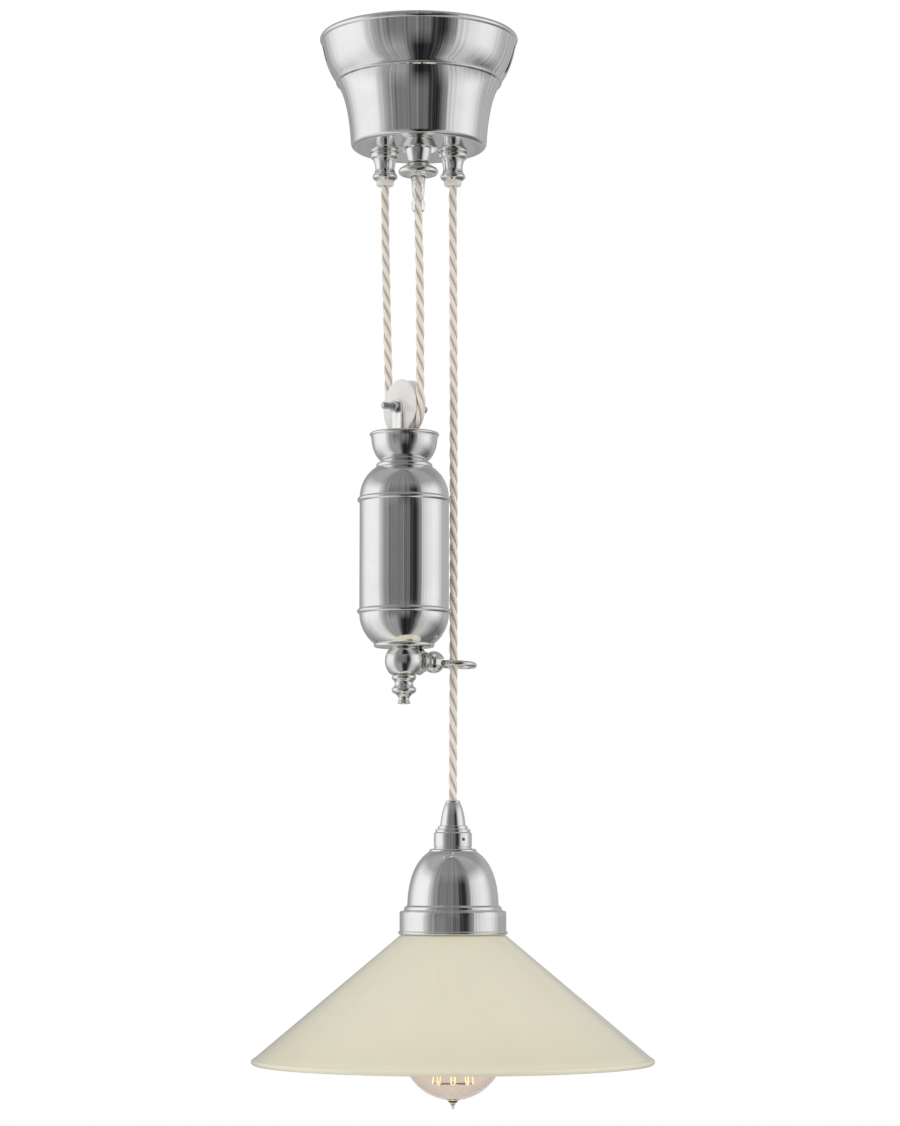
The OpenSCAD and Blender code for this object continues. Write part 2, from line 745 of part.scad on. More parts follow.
relief_tip_z = -relief_l + relief_bead_h;
module strain_relief() {
    color("lightblue", 0.5) translate([middle_at[0], middle_at[1], middle_end_z]) difference() {
        turned(concat([[0, bush_neck_h - 2.1], [relief_d / 2, bush_neck_h - 2.1]],
            curve([relief_d / 2, 0], [relief_d / 2 - 0.2, -6], [relief_tip_d / 2 + 0.4, -12],
                [relief_tip_d / 2, relief_tip_z + 1], 7),
            curve([relief_tip_d / 2 + 0.1, relief_tip_z], [relief_bead_d / 2, relief_tip_z - 0.5],
                [relief_bead_d / 2, relief_tip_z - 1.5], [relief_bead_d / 2, relief_tip_z - relief_bead_h / 2], 6),
            curve([relief_bead_d / 2, relief_tip_z - relief_bead_h / 2],
                [relief_bead_d / 2, -relief_l + 1.5], [relief_bead_d / 2 - 0.6, -relief_l],
                [relief_tip_d / 2, -relief_l], 6),
            [[0, -relief_l]]));
        rod(cord_hole_r, -far, far);
    }
}

// ---- Inside the canopy ----

module cord_clamp() {
    color(brass) translate([middle_at[0], middle_at[1], clamp_z]) difference() {
        rod(clamp_d / 2, 1, clamp_h + 1);
        rod(cord_hole_r, -1, clamp_h + 2);
        translate([0, 0, clamp_h / 2 + 1]) rotate([90, 0, 0])
            cylinder(r = clamp_screw_d / 2 + fit_gap, h = clamp_d);
    }
}

module clamp_screw() {
    color(steel) translate([middle_at[0], middle_at[1], clamp_z + clamp_h / 2 + 1]) rotate([90, 0, 0]) {
        translate([0, 0, cord_hole_r]) cylinder(d = clamp_screw_d, h = clamp_d / 2 - cord_hole_r);
        translate([0, 0, clamp_d / 2]) cylinder(d = 1.8 * clamp_screw_d, h = 0.7 * clamp_screw_d);
    }
}

pole_pitch = block_l / 3;
module terminal_block() {
    color(plastic) difference() {
        union() {
            plate(-block_l / 2, front_y - block_w / 2, block_z + 4, [block_l, block_w, block_h - 4]);
            for (k = [-1 : 1])
                translate([k * pole_pitch, front_y, block_z]) cylinder(d = pole_pitch - 1.4, h = 6);
        }
        for (k = [-1, 1])
            translate([k * pole_pitch, 0, block_z + 6]) rotate([90, 0, 0])
                cylinder(d = wire_bore_d, h = far / 2);
        for (k = [-1, 1])
            translate([k * pole_pitch, front_y, block_z - 1])
                cylinder(r = terminal_screw_d / 2 + fit_gap, h = 7 - wire_bore_d / 2);
        translate([0, front_y, block_z + 4]) cylinder(r = block_screw_d / 2 + fit_gap, h = block_h);
    }
}

module terminal_screws() {
    color(brass) for (k = [-1, 1])
        translate([k * pole_pitch, front_y, block_z + 0.6])
            cylinder(d = terminal_screw_d, h = 5.3 - wire_bore_d / 2);
}

module block_screw() {
    color(steel) translate([0, front_y, block_z + 4])
        cylinder(d = block_screw_d, h = block_h + bracket_t - 4);
}

module earth_screw() {
    color(brass) translate([-earth_x, 0, -bracket_t]) {
        rod(earth_screw_d / 2, -3, bracket_t - 0.2);
        rod(earth_screw_d, -3, 0);
    }
}

// The groove's round follows the cord, so the cord lies in it with its play
module pulley(flange_d, cord_at, bore_r) {
    rotate_extrude() difference() {
        union() {
            translate([bore_r, -hub_w / 2]) square([hub_d / 2 - bore_r, hub_w]);
            translate([bore_r, -pulley_w / 2]) square([flange_d / 2 - bore_r - 0.8, pulley_w]);
            translate([flange_d / 2 - 1, -pulley_w / 2 + 0.8]) square([1, pulley_w - 1.6]);
            for (s = [-1, 1])
                translate([flange_d / 2 - 0.8, s * (pulley_w / 2 - 0.8)]) circle(r = 0.8, $fn = 24);
        }
        translate([cord_at, 0]) circle(r = cord_r + groove_play);
        translate([cord_at, -cord_r - groove_play]) square([far, 2 * (cord_r + groove_play)]);
    }
}

module at_canopy_pulley() {
    translate([0, back_y, canopy_axle_z]) rotate([90, 0, 0]) children();
}

module canopy_pulley() {
    color(porcelain) at_canopy_pulley()
        pulley(canopy_pulley_d, canopy_cord_r, canopy_axle_d / 2 + run_gap);
}

yoke_out = ear_in + yoke_t;
module pulley_yoke() {
    color(steel) difference() {
        union() {
            plate(-gland_pitch / 2 - gland_nut_af / 2, back_y - yoke_out, floor_z,
                [gland_pitch + gland_nut_af, 2 * yoke_out, yoke_t]);
            for (s = [-1, 1])
                translate([0, back_y + s * (ear_in + yoke_t / 2) + yoke_t / 2, floor_z]) rotate([90, 0, 0])
                    linear_extrude(yoke_t) {
                        polygon([[-yoke_foot_w / 2, 0], [yoke_foot_w / 2, 0], [yoke_ear_d / 2, yoke_h],
                            [-yoke_ear_d / 2, yoke_h]]);
                        translate([0, yoke_h]) circle(d = yoke_ear_d);
                    }
        }
        at_canopy_pulley() rod(canopy_axle_d / 2 + fit_gap, -far / 2, far / 2);
        for (p = [left_at, right_at])
            translate([p[0], p[1], floor_z - 1]) cylinder(r = stem_hole_r, h = yoke_t + 2);
    }
}

canopy_axle_half = yoke_out + ring_clip_t + 1;
module canopy_axle() {
    color(steel) at_canopy_pulley() difference() {
        rod(canopy_axle_d / 2, -canopy_axle_half, canopy_axle_half);
        for (s = [-1, 1])
            translate([0, 0, s * (yoke_out + ring_clip_t / 2)]) difference() {
                cylinder(d = canopy_axle_d + 1, h = ring_clip_t, center = true);
                cylinder(d = canopy_axle_d - 1, h = ring_clip_t + 1, center = true);
            }
    }
}

module axle_retaining_rings() {
    color(steel) at_canopy_pulley() for (s = [-1, 1])
        translate([0, 0, s * (yoke_out + ring_clip_t / 2)]) difference() {
            cylinder(d = canopy_axle_d + 5, h = ring_clip_t - 2 * fit_gap, center = true);
            cylinder(d = canopy_axle_d - 1 + 2 * fit_gap, h = ring_clip_t + 1, center = true);
        }
}

// Half a turn of cord round a pulley, on the side of the child's +Y
module half_turn(cord_at) {
    rotate_extrude(angle = 180) translate([cord_at, 0]) circle(r = cord_r, $fn = 48);
}

// The held cord from the left bush over the canopy's pulley to the right bush
module canopy_cord() {
    color(textile) {
        at_canopy_pulley() half_turn(canopy_cord_r);
        for (p = [left_at, right_at])
            translate([p[0], p[1], bush_end_z]) cylinder(r = cord_r, h = canopy_axle_z - bush_end_z, $fn = 48);
    }
}

// The held dead end, from the strain relief's tip up to the terminal block
module dead_end_cord() {
    color(textile) translate([middle_at[0], middle_at[1], relief_end_z])
        cylinder(r = cord_r, h = block_z - relief_end_z, $fn = 48);
}

module left_cord_run() {
    color(textile) tube_along(left_route, cord_r, cord_sides);
}

module middle_cord_run() {
    color(textile) tube_along(middle_route, cord_r, cord_sides);
}

module lamp_cord_run() {
    color(textile) tube_along(lamp_route, cord_r, cord_sides);
}

// ---- Counterweight ----

module weight_pulley() {
    color(porcelain) at_weight() along_axle()
        pulley(pulley_d, weight_cord_r, weight_axle_d / 2 + run_gap);
}

module pulley_cord() {
    color(textile) at_weight() along_axle() rotate([0, 0, 90]) half_turn(weight_cord_r);
}

module weight_axle() {
    color(steel) at_weight() along_axle() {
        rod(weight_axle_d / 2, -weight_axle_l / 2 + 0.6, weight_axle_l / 2 - 0.6);
        for (s = [-1, 1])
            translate([0, 0, s * weight_axle_l / 2 - (s > 0 ? 0.6 : 0)])
                cylinder(d1 = weight_axle_d - (s > 0 ? 0 : 1.2), d2 = weight_axle_d - (s > 0 ? 1.2 : 0), h = 0.6);
    }
}

ear_out = ear_in + stirrup_t;
module weight_axle_nuts() {
    color(steel) at_weight() along_axle() {
        translate([0, 0, ear_out]) hex_nut(axle_nut_af, axle_nut_h, weight_axle_d / 2 + fit_gap);
        translate([0, 0, -ear_out - axle_nut_h])
            hex_nut(axle_nut_af, axle_nut_h, weight_axle_d / 2 + fit_gap);
    }
}

// A strap bent to a U: its foot is on the cup's floor and its ears hold the axle
module stirrup() {
    color(nickel) at_weight() rotate([0, 0, pulley_turn]) difference() {
        union() {
            for (s = [-1, 1])
                translate([s * (ear_in + stirrup_t / 2) - stirrup_t / 2, 0, 0]) {
                    translate([0, -stirrup_w / 2, cup_floor_z]) cube([stirrup_t, stirrup_w, -cup_floor_z]);
                    rotate([0, 90, 0]) cylinder(d = stirrup_w, h = stirrup_t);
                }
            translate([-ear_out, -stirrup_w / 2, cup_floor_z]) cube([2 * ear_out, stirrup_w, stirrup_t]);
        }
        rotate([0, 90, 0]) rod(weight_axle_d / 2 + fit_gap, -far / 2, far / 2);
        rod(tie_d / 2 + fit_gap, -far / 2, cup_floor_z + stirrup_t + 1);
    }
}

cup_r = cup_d / 2;
cup_foot_r = cup_foot_d / 2;
module weight_cup() {
    color(nickel) at_weight() difference() {
        union() {
            shell(concat(
                curve([cup_r - 1.1, -cup_below - 2.8], [cup_r - 1.5, cup_foot_z + 9.5],
                    [cup_foot_r + 4.9, cup_foot_z + 3.5], [cup_foot_r, cup_foot_z], 12),
                [[0, cup_foot_z]]), cup_wall);
            bead(cup_r - cup_bead / 2, -cup_below - cup_bead / 2, cup_bead);
        }
        rod(tie_d / 2 + fit_gap, -far / 2, cup_floor_z + 1);
    }
}

tie_top_z = cup_floor_z + stirrup_t + tie_nut_h + 1;
module tie_rod() {
    color(steel) at_weight() rod(tie_d / 2, bowl_end_z - rod_in_ball, tie_top_z);
}

module tie_rod_nut() {
    color(steel) at_weight() translate([0, 0, cup_floor_z + stirrup_t])
        hex_nut(tie_nut_af, tie_nut_h, tie_d / 2 + fit_gap);
}

// The domes' flanks, from the lip to the tube's bead
dome_flank = curve([lip_r, cup_foot_z - 4], [lip_r + 7.7, cup_foot_z - 9], [weight_r - 0.2, cup_foot_z - 17.5],
    [weight_r, tube_top_z], 12);
module weight_upper_dome() {
    color(nickel) at_weight() difference() {
        union() {
            shell(concat([[0, cup_foot_z], [cup_foot_r, cup_foot_z]],
                curve([cup_foot_r + 1.6, cup_foot_z - 0.2], [lip_r - 0.8, cup_foot_z - 0.6],
                    [lip_r, cup_foot_z - 1.6], [lip_r - 0.2, cup_foot_z - 3.2], 6),
                [[lip_r - 0.2, cup_foot_z - 5.6]]), weight_wall);
            shell(dome_flank, weight_wall);
        }
        rod(weight_r + 1, tube_top_z - 2, tube_top_z);
        rod(tie_d / 2 + fit_gap, -far, far);
    }
}

module weight_tube() {
    color(nickel) at_weight() difference() {
        union() {
            rod(weight_r, tube_end_z, tube_top_z);
            for (z = [tube_top_z - weight_bead / 2, tube_end_z + weight_bead / 2])
                bead(weight_r - 0.3, z, weight_bead);
        }
        rod(weight_r - weight_wall, tube_end_z - 1, tube_top_z + 1);
    }
}

bowl_flank = curve([weight_r, tube_end_z], [weight_r, tube_end_z - 8], [lip_r + 8, bowl_end_z + 8],
    [lip_r + 1.2, bowl_end_z + 2.8], 12);
module weight_lower_dome() {
    color(nickel) at_weight() difference() {
        union() {
            shell(bowl_flank, weight_wall);
            turned(concat([[0, bowl_end_z + weight_wall], [lip_r - 1, bowl_end_z + weight_wall],
                [lip_r - 1, bowl_end_z + 3.2], [lip_r + 1, bowl_end_z + 3.2]],
                arc(lip_r - 0.1, bowl_end_z + 1.5, 1.5, 40, -90, 6), [[0, bowl_end_z]]));
        }
        rod(weight_r + 1, tube_end_z, tube_end_z + 2);
        rod(tie_d / 2 + fit_gap, -far, far);
    }
}

module ballast() {
    color(iron) at_weight() difference() {
        rod(weight_r - weight_wall - ballast_gap, tube_end_z, tube_top_z);
        rod(tie_d / 2 + fit_gap, -far, far);
    }
}

module ball_solid(extra = 0) {
    translate([0, 0, ball_z]) sphere(d = ball_d + extra);
}

arm_socket = 6;
arm_spigot_r = 4;
module weight_ball() {
    color(nickel) at_weight() difference() {
        intersection() {
            ball_solid();
            rod(ball_d, finial_z, bowl_end_z);
        }
        rod(tie_d / 2 + fit_gap, bowl_end_z - rod_in_ball, 0);
        rod(3 + fit_gap, -far, finial_z + 5);
        along_arm() rod(arm_spigot_r + fit_gap, arm_socket, far);
    }
}

finial_r = finial_d / 2;
finial_end_r = finial_end_d / 2;
module finial() {
    color(nickel) at_weight() translate([0, 0, finial_z]) {
        rod(3, -1, 5);
        turned(concat(
            [[0, 0]], arc(finial_r - 2.2, -2.2, 2.2, 90, -64, 9),
            curve([finial_r - 1.6, -4.8], [finial_r - 2.6, -5.8], [finial_r - 2.6, -7.4],
                [finial_r - 1.8, -9], 5),
            arc(finial_r - 2.5, -11.6, 2.5, 64, -56, 8),
            curve([finial_r - 1.8, -14.1], [5.2, -15.4], [3.9, -finial_h + 5.2],
                [3.8, -finial_h + 3.4], 5),
            curve([3.85, -finial_h + 3], [4, -finial_h + 2.6], [finial_end_r - 0.6, -finial_h + 2.4],
                [finial_end_r - 0.2, -finial_h + 1.8], 4),
            arc(finial_end_r - 1, -finial_h + 1, 1, 20, -90, 4),
            [[0, -finial_h]]));
    }
}

fork_hole_r = guide_pin_d / 2 + fit_gap;
module guide_arm() {
    flange_at = ball_d / 2 - 2.8;
    color(nickel) at_weight() difference() {
        along_arm() difference() {
            union() {
                rod(arm_spigot_r, arm_socket + 0.5, guide_pin_out);
                rod(arm_flange_d / 2 - 0.6, flange_at, flange_at + 3);
                bead(arm_flange_d / 2 - 0.8, flange_at + 2.2, 1.6);
                rod(arm_spigot_r + 1.4, flange_at + 2, guide_pin_out);
                rod(arm_disc_d / 2 - 0.6, flange_at + 5, flange_at + 7.6);
                bead(arm_disc_d / 2 - 1.1, flange_at + 6.3, 2.2);
                translate([0, 0, guide_pin_out]) sphere(d = fork_d);
            }
            difference() {
                translate([0, 0, 0]) sphere(d = ball_d + 2 * fit_gap);
                rod(arm_spigot_r, 0, far);
            }
        }
        translate([0, 0, ball_z]) rotate([0, 0, arm_angle]) {
            translate([guide_pin_out - guide_wire_d - 1.4, -far / 2, -fork_slot_h / 2])
                cube([far, far, fork_slot_h]);
            translate([guide_pin_out, 0, 0]) rod(fork_hole_r, -far / 2, far / 2);
        }
    }
}

module guide_pin() {
    color(steel) at_weight() translate([0, 0, ball_z]) rotate([0, 0, arm_angle])
        translate([guide_pin_out, 0, 0]) rod(guide_pin_d / 2, -fork_d / 2 + 0.2, fork_d / 2 - 0.2);
}

// A ring with a flat eye that turns on the pin in the slotted ball
module guide_ring() {
    eye_r = guide_wire_d + 0.4;
    color(nickel) at_weight() translate([0, 0, ball_z]) rotate([0, 0, arm_angle])
        translate([guide_pin_out, 0, 0]) difference() {
            rotate([0, ring_droop, 0]) difference() {
                union() {
                    translate([ring_out, 0, 0]) bead(ring_r, 0, guide_wire_d);
                    rod(eye_r, -guide_wire_d / 2, guide_wire_d / 2);
                    translate([0, -eye_r + 1, -guide_wire_d / 2])
                        cube([ring_out - ring_r, 2 * eye_r - 2, guide_wire_d]);
                }
                translate([ring_out, 0, 0]) rod(ring_r - 1, -far / 2, far / 2);
            }
            rod(guide_pin_d / 2 + run_gap, -far / 2, far / 2);
        }
}

// ---- Lamp ----

grip_r = grip_d / 2;
grip_tip_r = grip_tip_d / 2;
module cord_grip() {
    color(nickel) at_lamp() difference() {
        turned(concat([[0, 0], [grip_tip_r - 0.6, 0]], arc(grip_tip_r - 0.6, -0.6, 0.6, 90, -30, 4),
            curve([grip_tip_r - 0.1, -1.2], [grip_tip_r + 1.9, -5], [grip_r - 0.6, -11], [grip_r, -grip_h], 10),
            [[0, -grip_h]]));
        rod(cord_hole_r, -far, far);
        rod(collet_r + fit_gap, -far, tube_top + collet_h);
        rod(tube_hole_r, -far, tube_top);
    }
}

collet_r = tube_d / 2 - 0.6;
collet_h = 5;
module grip_collet() {
    color(plastic) at_lamp() difference() {
        rod(collet_r, tube_top, tube_top + collet_h);
        rod(cord_r + fit_gap, -far, far);
    }
}

collar_r = collar_d / 2;
module cap_collar() {
    color(nickel) at_lamp() difference() {
        turned(concat([[0, collar_z], [collar_r - 3.6, collar_z]],
            arc(collar_r - 3.6, collar_z - 0.6, 0.6, 90, 0, 3),
            [[collar_r - 3, collar_z - 2.6]],
            arc(collar_r - 1.7, collar_z - 3.2, 0.6, 90, 0, 3),
            [[collar_r - 1.1, collar_z - 5]],
            arc(collar_r - 0.8, collar_z - 6, 0.8, 90, 0, 3),
            [[collar_r, cap_z + 1.6], [collar_r - 0.5, cap_z + 1.2], [collar_r - 0.5, cap_z + 0.8],
             [collar_r + 0.1, cap_z + 0.5], [collar_r + 0.1, cap_z], [0, cap_z]]));
        rod(tube_hole_r, -far, far);
    }
}

cap_r = cap_d / 2;
cap_lip_r = cap_lip_d / 2;
band_r = band_d / 2;
cap_lip = concat([[0, cap_z], [collar_r + 0.2, cap_z]],
    curve([collar_r + 1.6, cap_z - 0.2], [cap_lip_r - 0.4, cap_z - 0.3], [cap_lip_r, cap_z - 1],
        [cap_lip_r, cap_z - 2.2], 5), [[cap_lip_r, cap_z - 4.4]]);
cap_flank = curve([cap_lip_r + 0.4, cap_z - 2.5], [cap_lip_r + 10.2, cap_z - 9.2],
    [cap_r - 0.4, cap_z - 22.2], [cap_r, ledge_z], 14);
module lamp_cap() {
    color(nickel) at_lamp() difference() {
        union() {
            shell(cap_lip, cap_wall);
            shell(cap_flank, cap_wall);
            turned([[cap_r - cap_wall, ledge_z + 1], [cap_r, ledge_z + 0.6], [band_r - 3.8, ledge_z - 0.4],
                [band_r - 3.4, ledge_z - 0.8], [band_r - 3.4, ledge_z - 2.8], [band_r - 1, ledge_z - 3.4],
                [band_r, ledge_z - 4.4], [band_r, band_z + 1], [band_r - cap_wall, band_z + 1],
                [band_r - cap_wall, ledge_z - 5], [band_r - 4.6, ledge_z - 4.2], [band_r - 4.6, ledge_z - 1.8],
                [cap_r - cap_wall, ledge_z - 1]]);
            bead(bead_r, band_z, cap_bead);
        }
        rod(tube_hole_r, -far, far);
    }
}

tube_end_in_holder = holder_z - 6;
module threaded_tube() {
    color(brass) at_lamp() difference() {
        rod(tube_d / 2, tube_end_in_holder, tube_top);
        rod(cord_r + 0.4, -far, far);
    }
}

module tube_nut() {
    color(brass) at_lamp() translate([0, 0, cap_z - cap_wall - tube_nut_h])
        hex_nut(tube_nut_af, tube_nut_h, tube_hole_r);
}

module lamp_cord_end() {
    color(textile) at_lamp() rod(cord_r, core_top_z, 0);
}

// ---- Lampholder ----

holder_r = holder_d / 2;
skirt_r = skirt_d / 2;
holder_neck_r = tube_d / 2 + 3;
module holder_cover() {
    color(brass) at_lamp() difference() {
        union() {
            shell(concat([[holder_neck_r - 3, holder_z - 4]], curve([holder_neck_r, holder_z - 4],
                [holder_r - 5, holder_z - 5], [holder_r, holder_z - 9], [holder_r, holder_z - 16], 8),
                [[holder_r, shade_z + holder_flange_t]]), holder_wall);
            rod(holder_neck_r, holder_z - 8, holder_z);
        }
        rod(tube_hole_r, -far, far);
    }
}

module holder_skirt() {
    color(brass) at_lamp() difference() {
        union() {
            rod(skirt_r, shade_z - skirt_h, shade_z + holder_flange_t);
            rod(holder_flange_d / 2, shade_z, shade_z + holder_flange_t);
        }
        rod(skirt_r - holder_wall, -far, far);
    }
}

core_r = skirt_r - holder_wall - 0.1;
socket_r = bulb_cap_d / 2 + 1.4;
core_end_z = shade_z - skirt_h + 2;
module holder_core() {
    color(porcelain) at_lamp() difference() {
        rod(core_r, core_end_z, core_top_z);
        rod(socket_r, -far, socket_z);
        rod(2.5 + fit_gap, -far, socket_z + 4);
    }
}

// The threaded sleeve and the centre contact
module holder_contacts() {
    color(brass) at_lamp() {
        difference() {
            rod(socket_r - 0.05, core_end_z + 1, socket_z - 4);
            rod(bulb_cap_d / 2 + 0.3, -far, far);
        }
        rod(2.5, bulb_top_z, socket_z + 3.5);
    }
}

module shade_ring_nut() {
    color(plastic) at_lamp() difference() {
        union() {
            rod(shade_ring_d / 2 - 2, shade_z - shade_wall - shade_ring_h, shade_z - shade_wall);
            rod(shade_ring_d / 2, shade_z - shade_wall - shade_ring_h + 1.5, shade_z - shade_wall);
        }
        rod(skirt_r + fit_gap, -far, far);
    }
}

// ---- Shade ----

module glass_shade() {
    hole_r = skirt_r + shade_hole_gap;
    edge = [shade_r - lip_turn, -(shade_r - lip_turn - shade_top_r) * tan(flank)];
    color("cornsilk") at_lamp() translate([0, 0, shade_z]) {
        shell(concat([[hole_r, 0], [shade_ring_d / 2 + 1, 0]],
            curve([shade_top_r - 3, 0], [shade_top_r - 1, 0], [shade_top_r, 0],
                [shade_top_r + 2, -2 * tan(flank)], 5),
            curve(edge, edge + [1.6, -1.6 * tan(flank)], [shade_r, edge[1] - 1.6],
                [shade_r, -shade_h + shade_wall / 2 + 0.3], 8),
            [[shade_r, -shade_h + shade_wall / 2]]), shade_wall);
        bead(shade_r - shade_wall / 2, -shade_h + shade_wall / 2, shade_wall);
    }
}

// ---- Bulb ----

globe_r = globe_d / 2;
cap_end_z = bulb_top_z - bulb_cap_h;
neck_r = bulb_cap_d / 2;
join = 40;      // angle from the top where the neck runs into the globe
globe_join = [globe_r * sin(join), globe_z + globe_r * cos(join)];
tip_r = 5;
tip_z = globe_z - sqrt(globe_r * globe_r - tip_r * tip_r);
neck_seat_r = neck_r - 0.4;
bulb_outline = concat(
    [[neck_seat_r, cap_end_z + 2]],
    curve([neck_seat_r, cap_end_z - 0.5], [neck_r, cap_end_z - 10],
        globe_join + 9 * [-cos(join), sin(join)], globe_join, 8),
    [for (i = [1 : 20]) let (a = 90 - join - i * (90 - join + 82) / 20) [globe_r * cos(a), globe_z + globe_r * sin(a)]],
    curve([4.2, tip_z - 1.2], [2.6, tip_z - 1.8], [1.6, tip_z - 3.2], [1, globe_z - globe_r - bulb_tip_l + 1], 5),
    [[0.7, globe_z - globe_r - bulb_tip_l + 0.3], [0, globe_z - globe_r - bulb_tip_l]]);
inner_r = globe_r - bulb_wall;

module bulb_glass() {
    color("lightyellow", 0.4) at_lamp() difference() {
        turned(concat([[0, cap_end_z + 2]], bulb_outline));
        turned(concat([[0, cap_end_z + 3], [neck_seat_r - bulb_wall, cap_end_z + 3]],
            curve([neck_seat_r - bulb_wall, cap_end_z - 0.5], [neck_r - bulb_wall, cap_end_z - 10],
                [inner_r * sin(join), globe_z + inner_r * cos(join)] + 9 * [-cos(join), sin(join)],
                [inner_r * sin(join), globe_z + inner_r * cos(join)], 8),
            [for (i = [1 : 20]) let (a = 90 - join - i * (180 - join) / 20)
                [i == 20 ? 0 : inner_r * cos(a), globe_z + inner_r * sin(a)]]));
    }
}

module bulb_cap() {
    color(brass) at_lamp() difference() {
        union() {
            rod(neck_r, cap_end_z, bulb_top_z - 5);
            translate([0, 0, bulb_top_z - 5]) cylinder(r1 = neck_r - 1, r2 = 5, h = 4);
            rod(4.5, bulb_top_z - 2, bulb_top_z);
        }
        rod(neck_seat_r + fit_gap, cap_end_z - 1, cap_end_z + 2 + fit_gap);
        rod(neck_r - 1.4, cap_end_z - 1, bulb_top_z - 8);
    }
}

stem_end_z = globe_z - globe_r + stem_end_lift;
stem_top_z = bulb_top_z - 8;
stem_disc_z = cap_end_z - stem_disc_drop;
stem_flare_z = cap_end_z - stem_flare_drop;
stem_r = stem_d / 2;
stem_disc_r = 3.6;
stem_button_r = 2.4;
module bulb_stem() {
    color("lightblue", 0.5) at_lamp() turned([
        [0, stem_top_z], [stem_r, stem_top_z], [stem_r, stem_flare_z + 4],
        [stem_flare_d / 2, stem_flare_z], [stem_flare_d / 2, stem_flare_z - 2],
        [stem_r, stem_flare_z - 6], [stem_r - 0.4, stem_disc_z + 2], [stem_disc_r, stem_disc_z + 0.5],
        [stem_disc_r, stem_disc_z - 0.5], [2, stem_disc_z - 2], [1.6, stem_end_z + 2],
        [stem_button_r, stem_end_z + 0.5], [stem_button_r, stem_end_z - 0.5],
        [1.8, stem_end_z - 2], [0, stem_end_z - 2]]);
}

// The filament hangs to and fro between an upper and a wider lower ring of hooks
filament_wire_r = 0.35;
hook_r = 1.4;
low_hook_r = filament_d / 2;
high_hook_r = filament_d / 2 * 0.7;
low_hook_z = stem_end_z + hook_r;
high_hook_z = stem_disc_z - hook_r;
hook_step = 180 / filament_hooks;

// Points of one round hook at angle a round the stem, passed from left to right
function hook(a, r, z, up) = [
    for (i = [0 : 4]) let (b = 180 - 45 * i)
        [r * cos(a) - hook_r * cos(b) * -sin(a), r * sin(a) - hook_r * cos(b) * cos(a),
         z + up * hook_r * sin(b)]];

module filament() {
    color("orange") at_lamp() tube_along([
        for (k = [0 : 2 * filament_hooks - 2])
            each backwards(hook(k * hook_step, k % 2 == 0 ? low_hook_r : high_hook_r,
                k % 2 == 0 ? low_hook_z : high_hook_z, k % 2 == 0 ? -1 : 1))],
        filament_wire_r, 6);
}

module filament_supports() {
    color(steel) at_lamp() for (k = [0 : 2 * filament_hooks - 2]) {
        low = k % 2 == 0;
        inner = low ? stem_button_r : stem_disc_r;
        translate([0, 0, low ? stem_end_z : stem_disc_z]) rotate([0, 90, k * hook_step])
            translate([0, 0, inner])
                cylinder(r = 0.25, h = (low ? low_hook_r : high_hook_r) - filament_wire_r - inner);
    }
}

ceiling_bracket();
spring_clips();
canopy_shell();
left_gland();
right_gland();
middle_gland();
domed_washer();
gland_nuts();
gland_bushes();
strain_relief();
pulley_yoke();
canopy_axle();
axle_retaining_rings();
canopy_pulley();
terminal_block();
terminal_screws();
block_screw();
earth_screw();
cord_clamp();
clamp_screw();
canopy_cord();
dead_end_cord();
left_cord_run();
middle_cord_run();
lamp_cord_run();
weight_axle();
weight_axle_nuts();
weight_pulley();
pulley_cord();
stirrup();
weight_cup();
tie_rod();
tie_rod_nut();
weight_upper_dome();
weight_tube();
weight_lower_dome();
ballast();
weight_ball();
finial();
guide_arm();
guide_pin();
guide_ring();
cord_grip();
grip_collet();
cap_collar();
lamp_cap();
threaded_tube();
tube_nut();
lamp_cord_end();
holder_cover();
holder_skirt();
holder_core();
holder_contacts();
shade_ring_nut();
glass_shade();
bulb_glass();
bulb_cap();
bulb_stem();
filament();
filament_supports();
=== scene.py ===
from math import atan2, cos, hypot, pi, radians, sin, sqrt

import bpy
from mathutils import Matrix, Vector


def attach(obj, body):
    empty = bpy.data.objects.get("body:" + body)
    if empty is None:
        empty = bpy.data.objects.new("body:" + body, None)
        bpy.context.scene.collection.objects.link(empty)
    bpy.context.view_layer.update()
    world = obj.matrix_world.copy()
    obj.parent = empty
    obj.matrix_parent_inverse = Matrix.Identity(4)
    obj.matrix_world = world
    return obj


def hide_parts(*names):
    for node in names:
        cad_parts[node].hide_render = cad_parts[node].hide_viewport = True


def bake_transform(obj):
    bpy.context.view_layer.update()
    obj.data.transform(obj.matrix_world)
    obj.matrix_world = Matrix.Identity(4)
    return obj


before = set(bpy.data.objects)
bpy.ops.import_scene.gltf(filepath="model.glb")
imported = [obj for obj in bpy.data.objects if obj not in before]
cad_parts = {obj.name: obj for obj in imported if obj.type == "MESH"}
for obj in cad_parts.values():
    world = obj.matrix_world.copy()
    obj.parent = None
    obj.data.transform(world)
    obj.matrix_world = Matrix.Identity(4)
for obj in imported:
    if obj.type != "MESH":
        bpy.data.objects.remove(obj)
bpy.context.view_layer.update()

# ---------------------------------------------------------------- camera
# A long lens rather more than two metres in front of the lamp, a little above the shade and tilted up,
# so that the lamp's cap and the counterweight are seen level and the canopy from below.
bpy.ops.object.select_all(action="DESELECT")
bpy.ops.object.camera_add(location=(0.0238, -2.272, -0.6415), rotation=(radians(95.96), 0.0, 0.0))
camera = bpy.context.object
camera.name = "camera"
camera.data.lens = 97.2
camera.data.sensor_width = 36.0
camera.data.clip_end = 50.0
bpy.context.scene.camera = camera

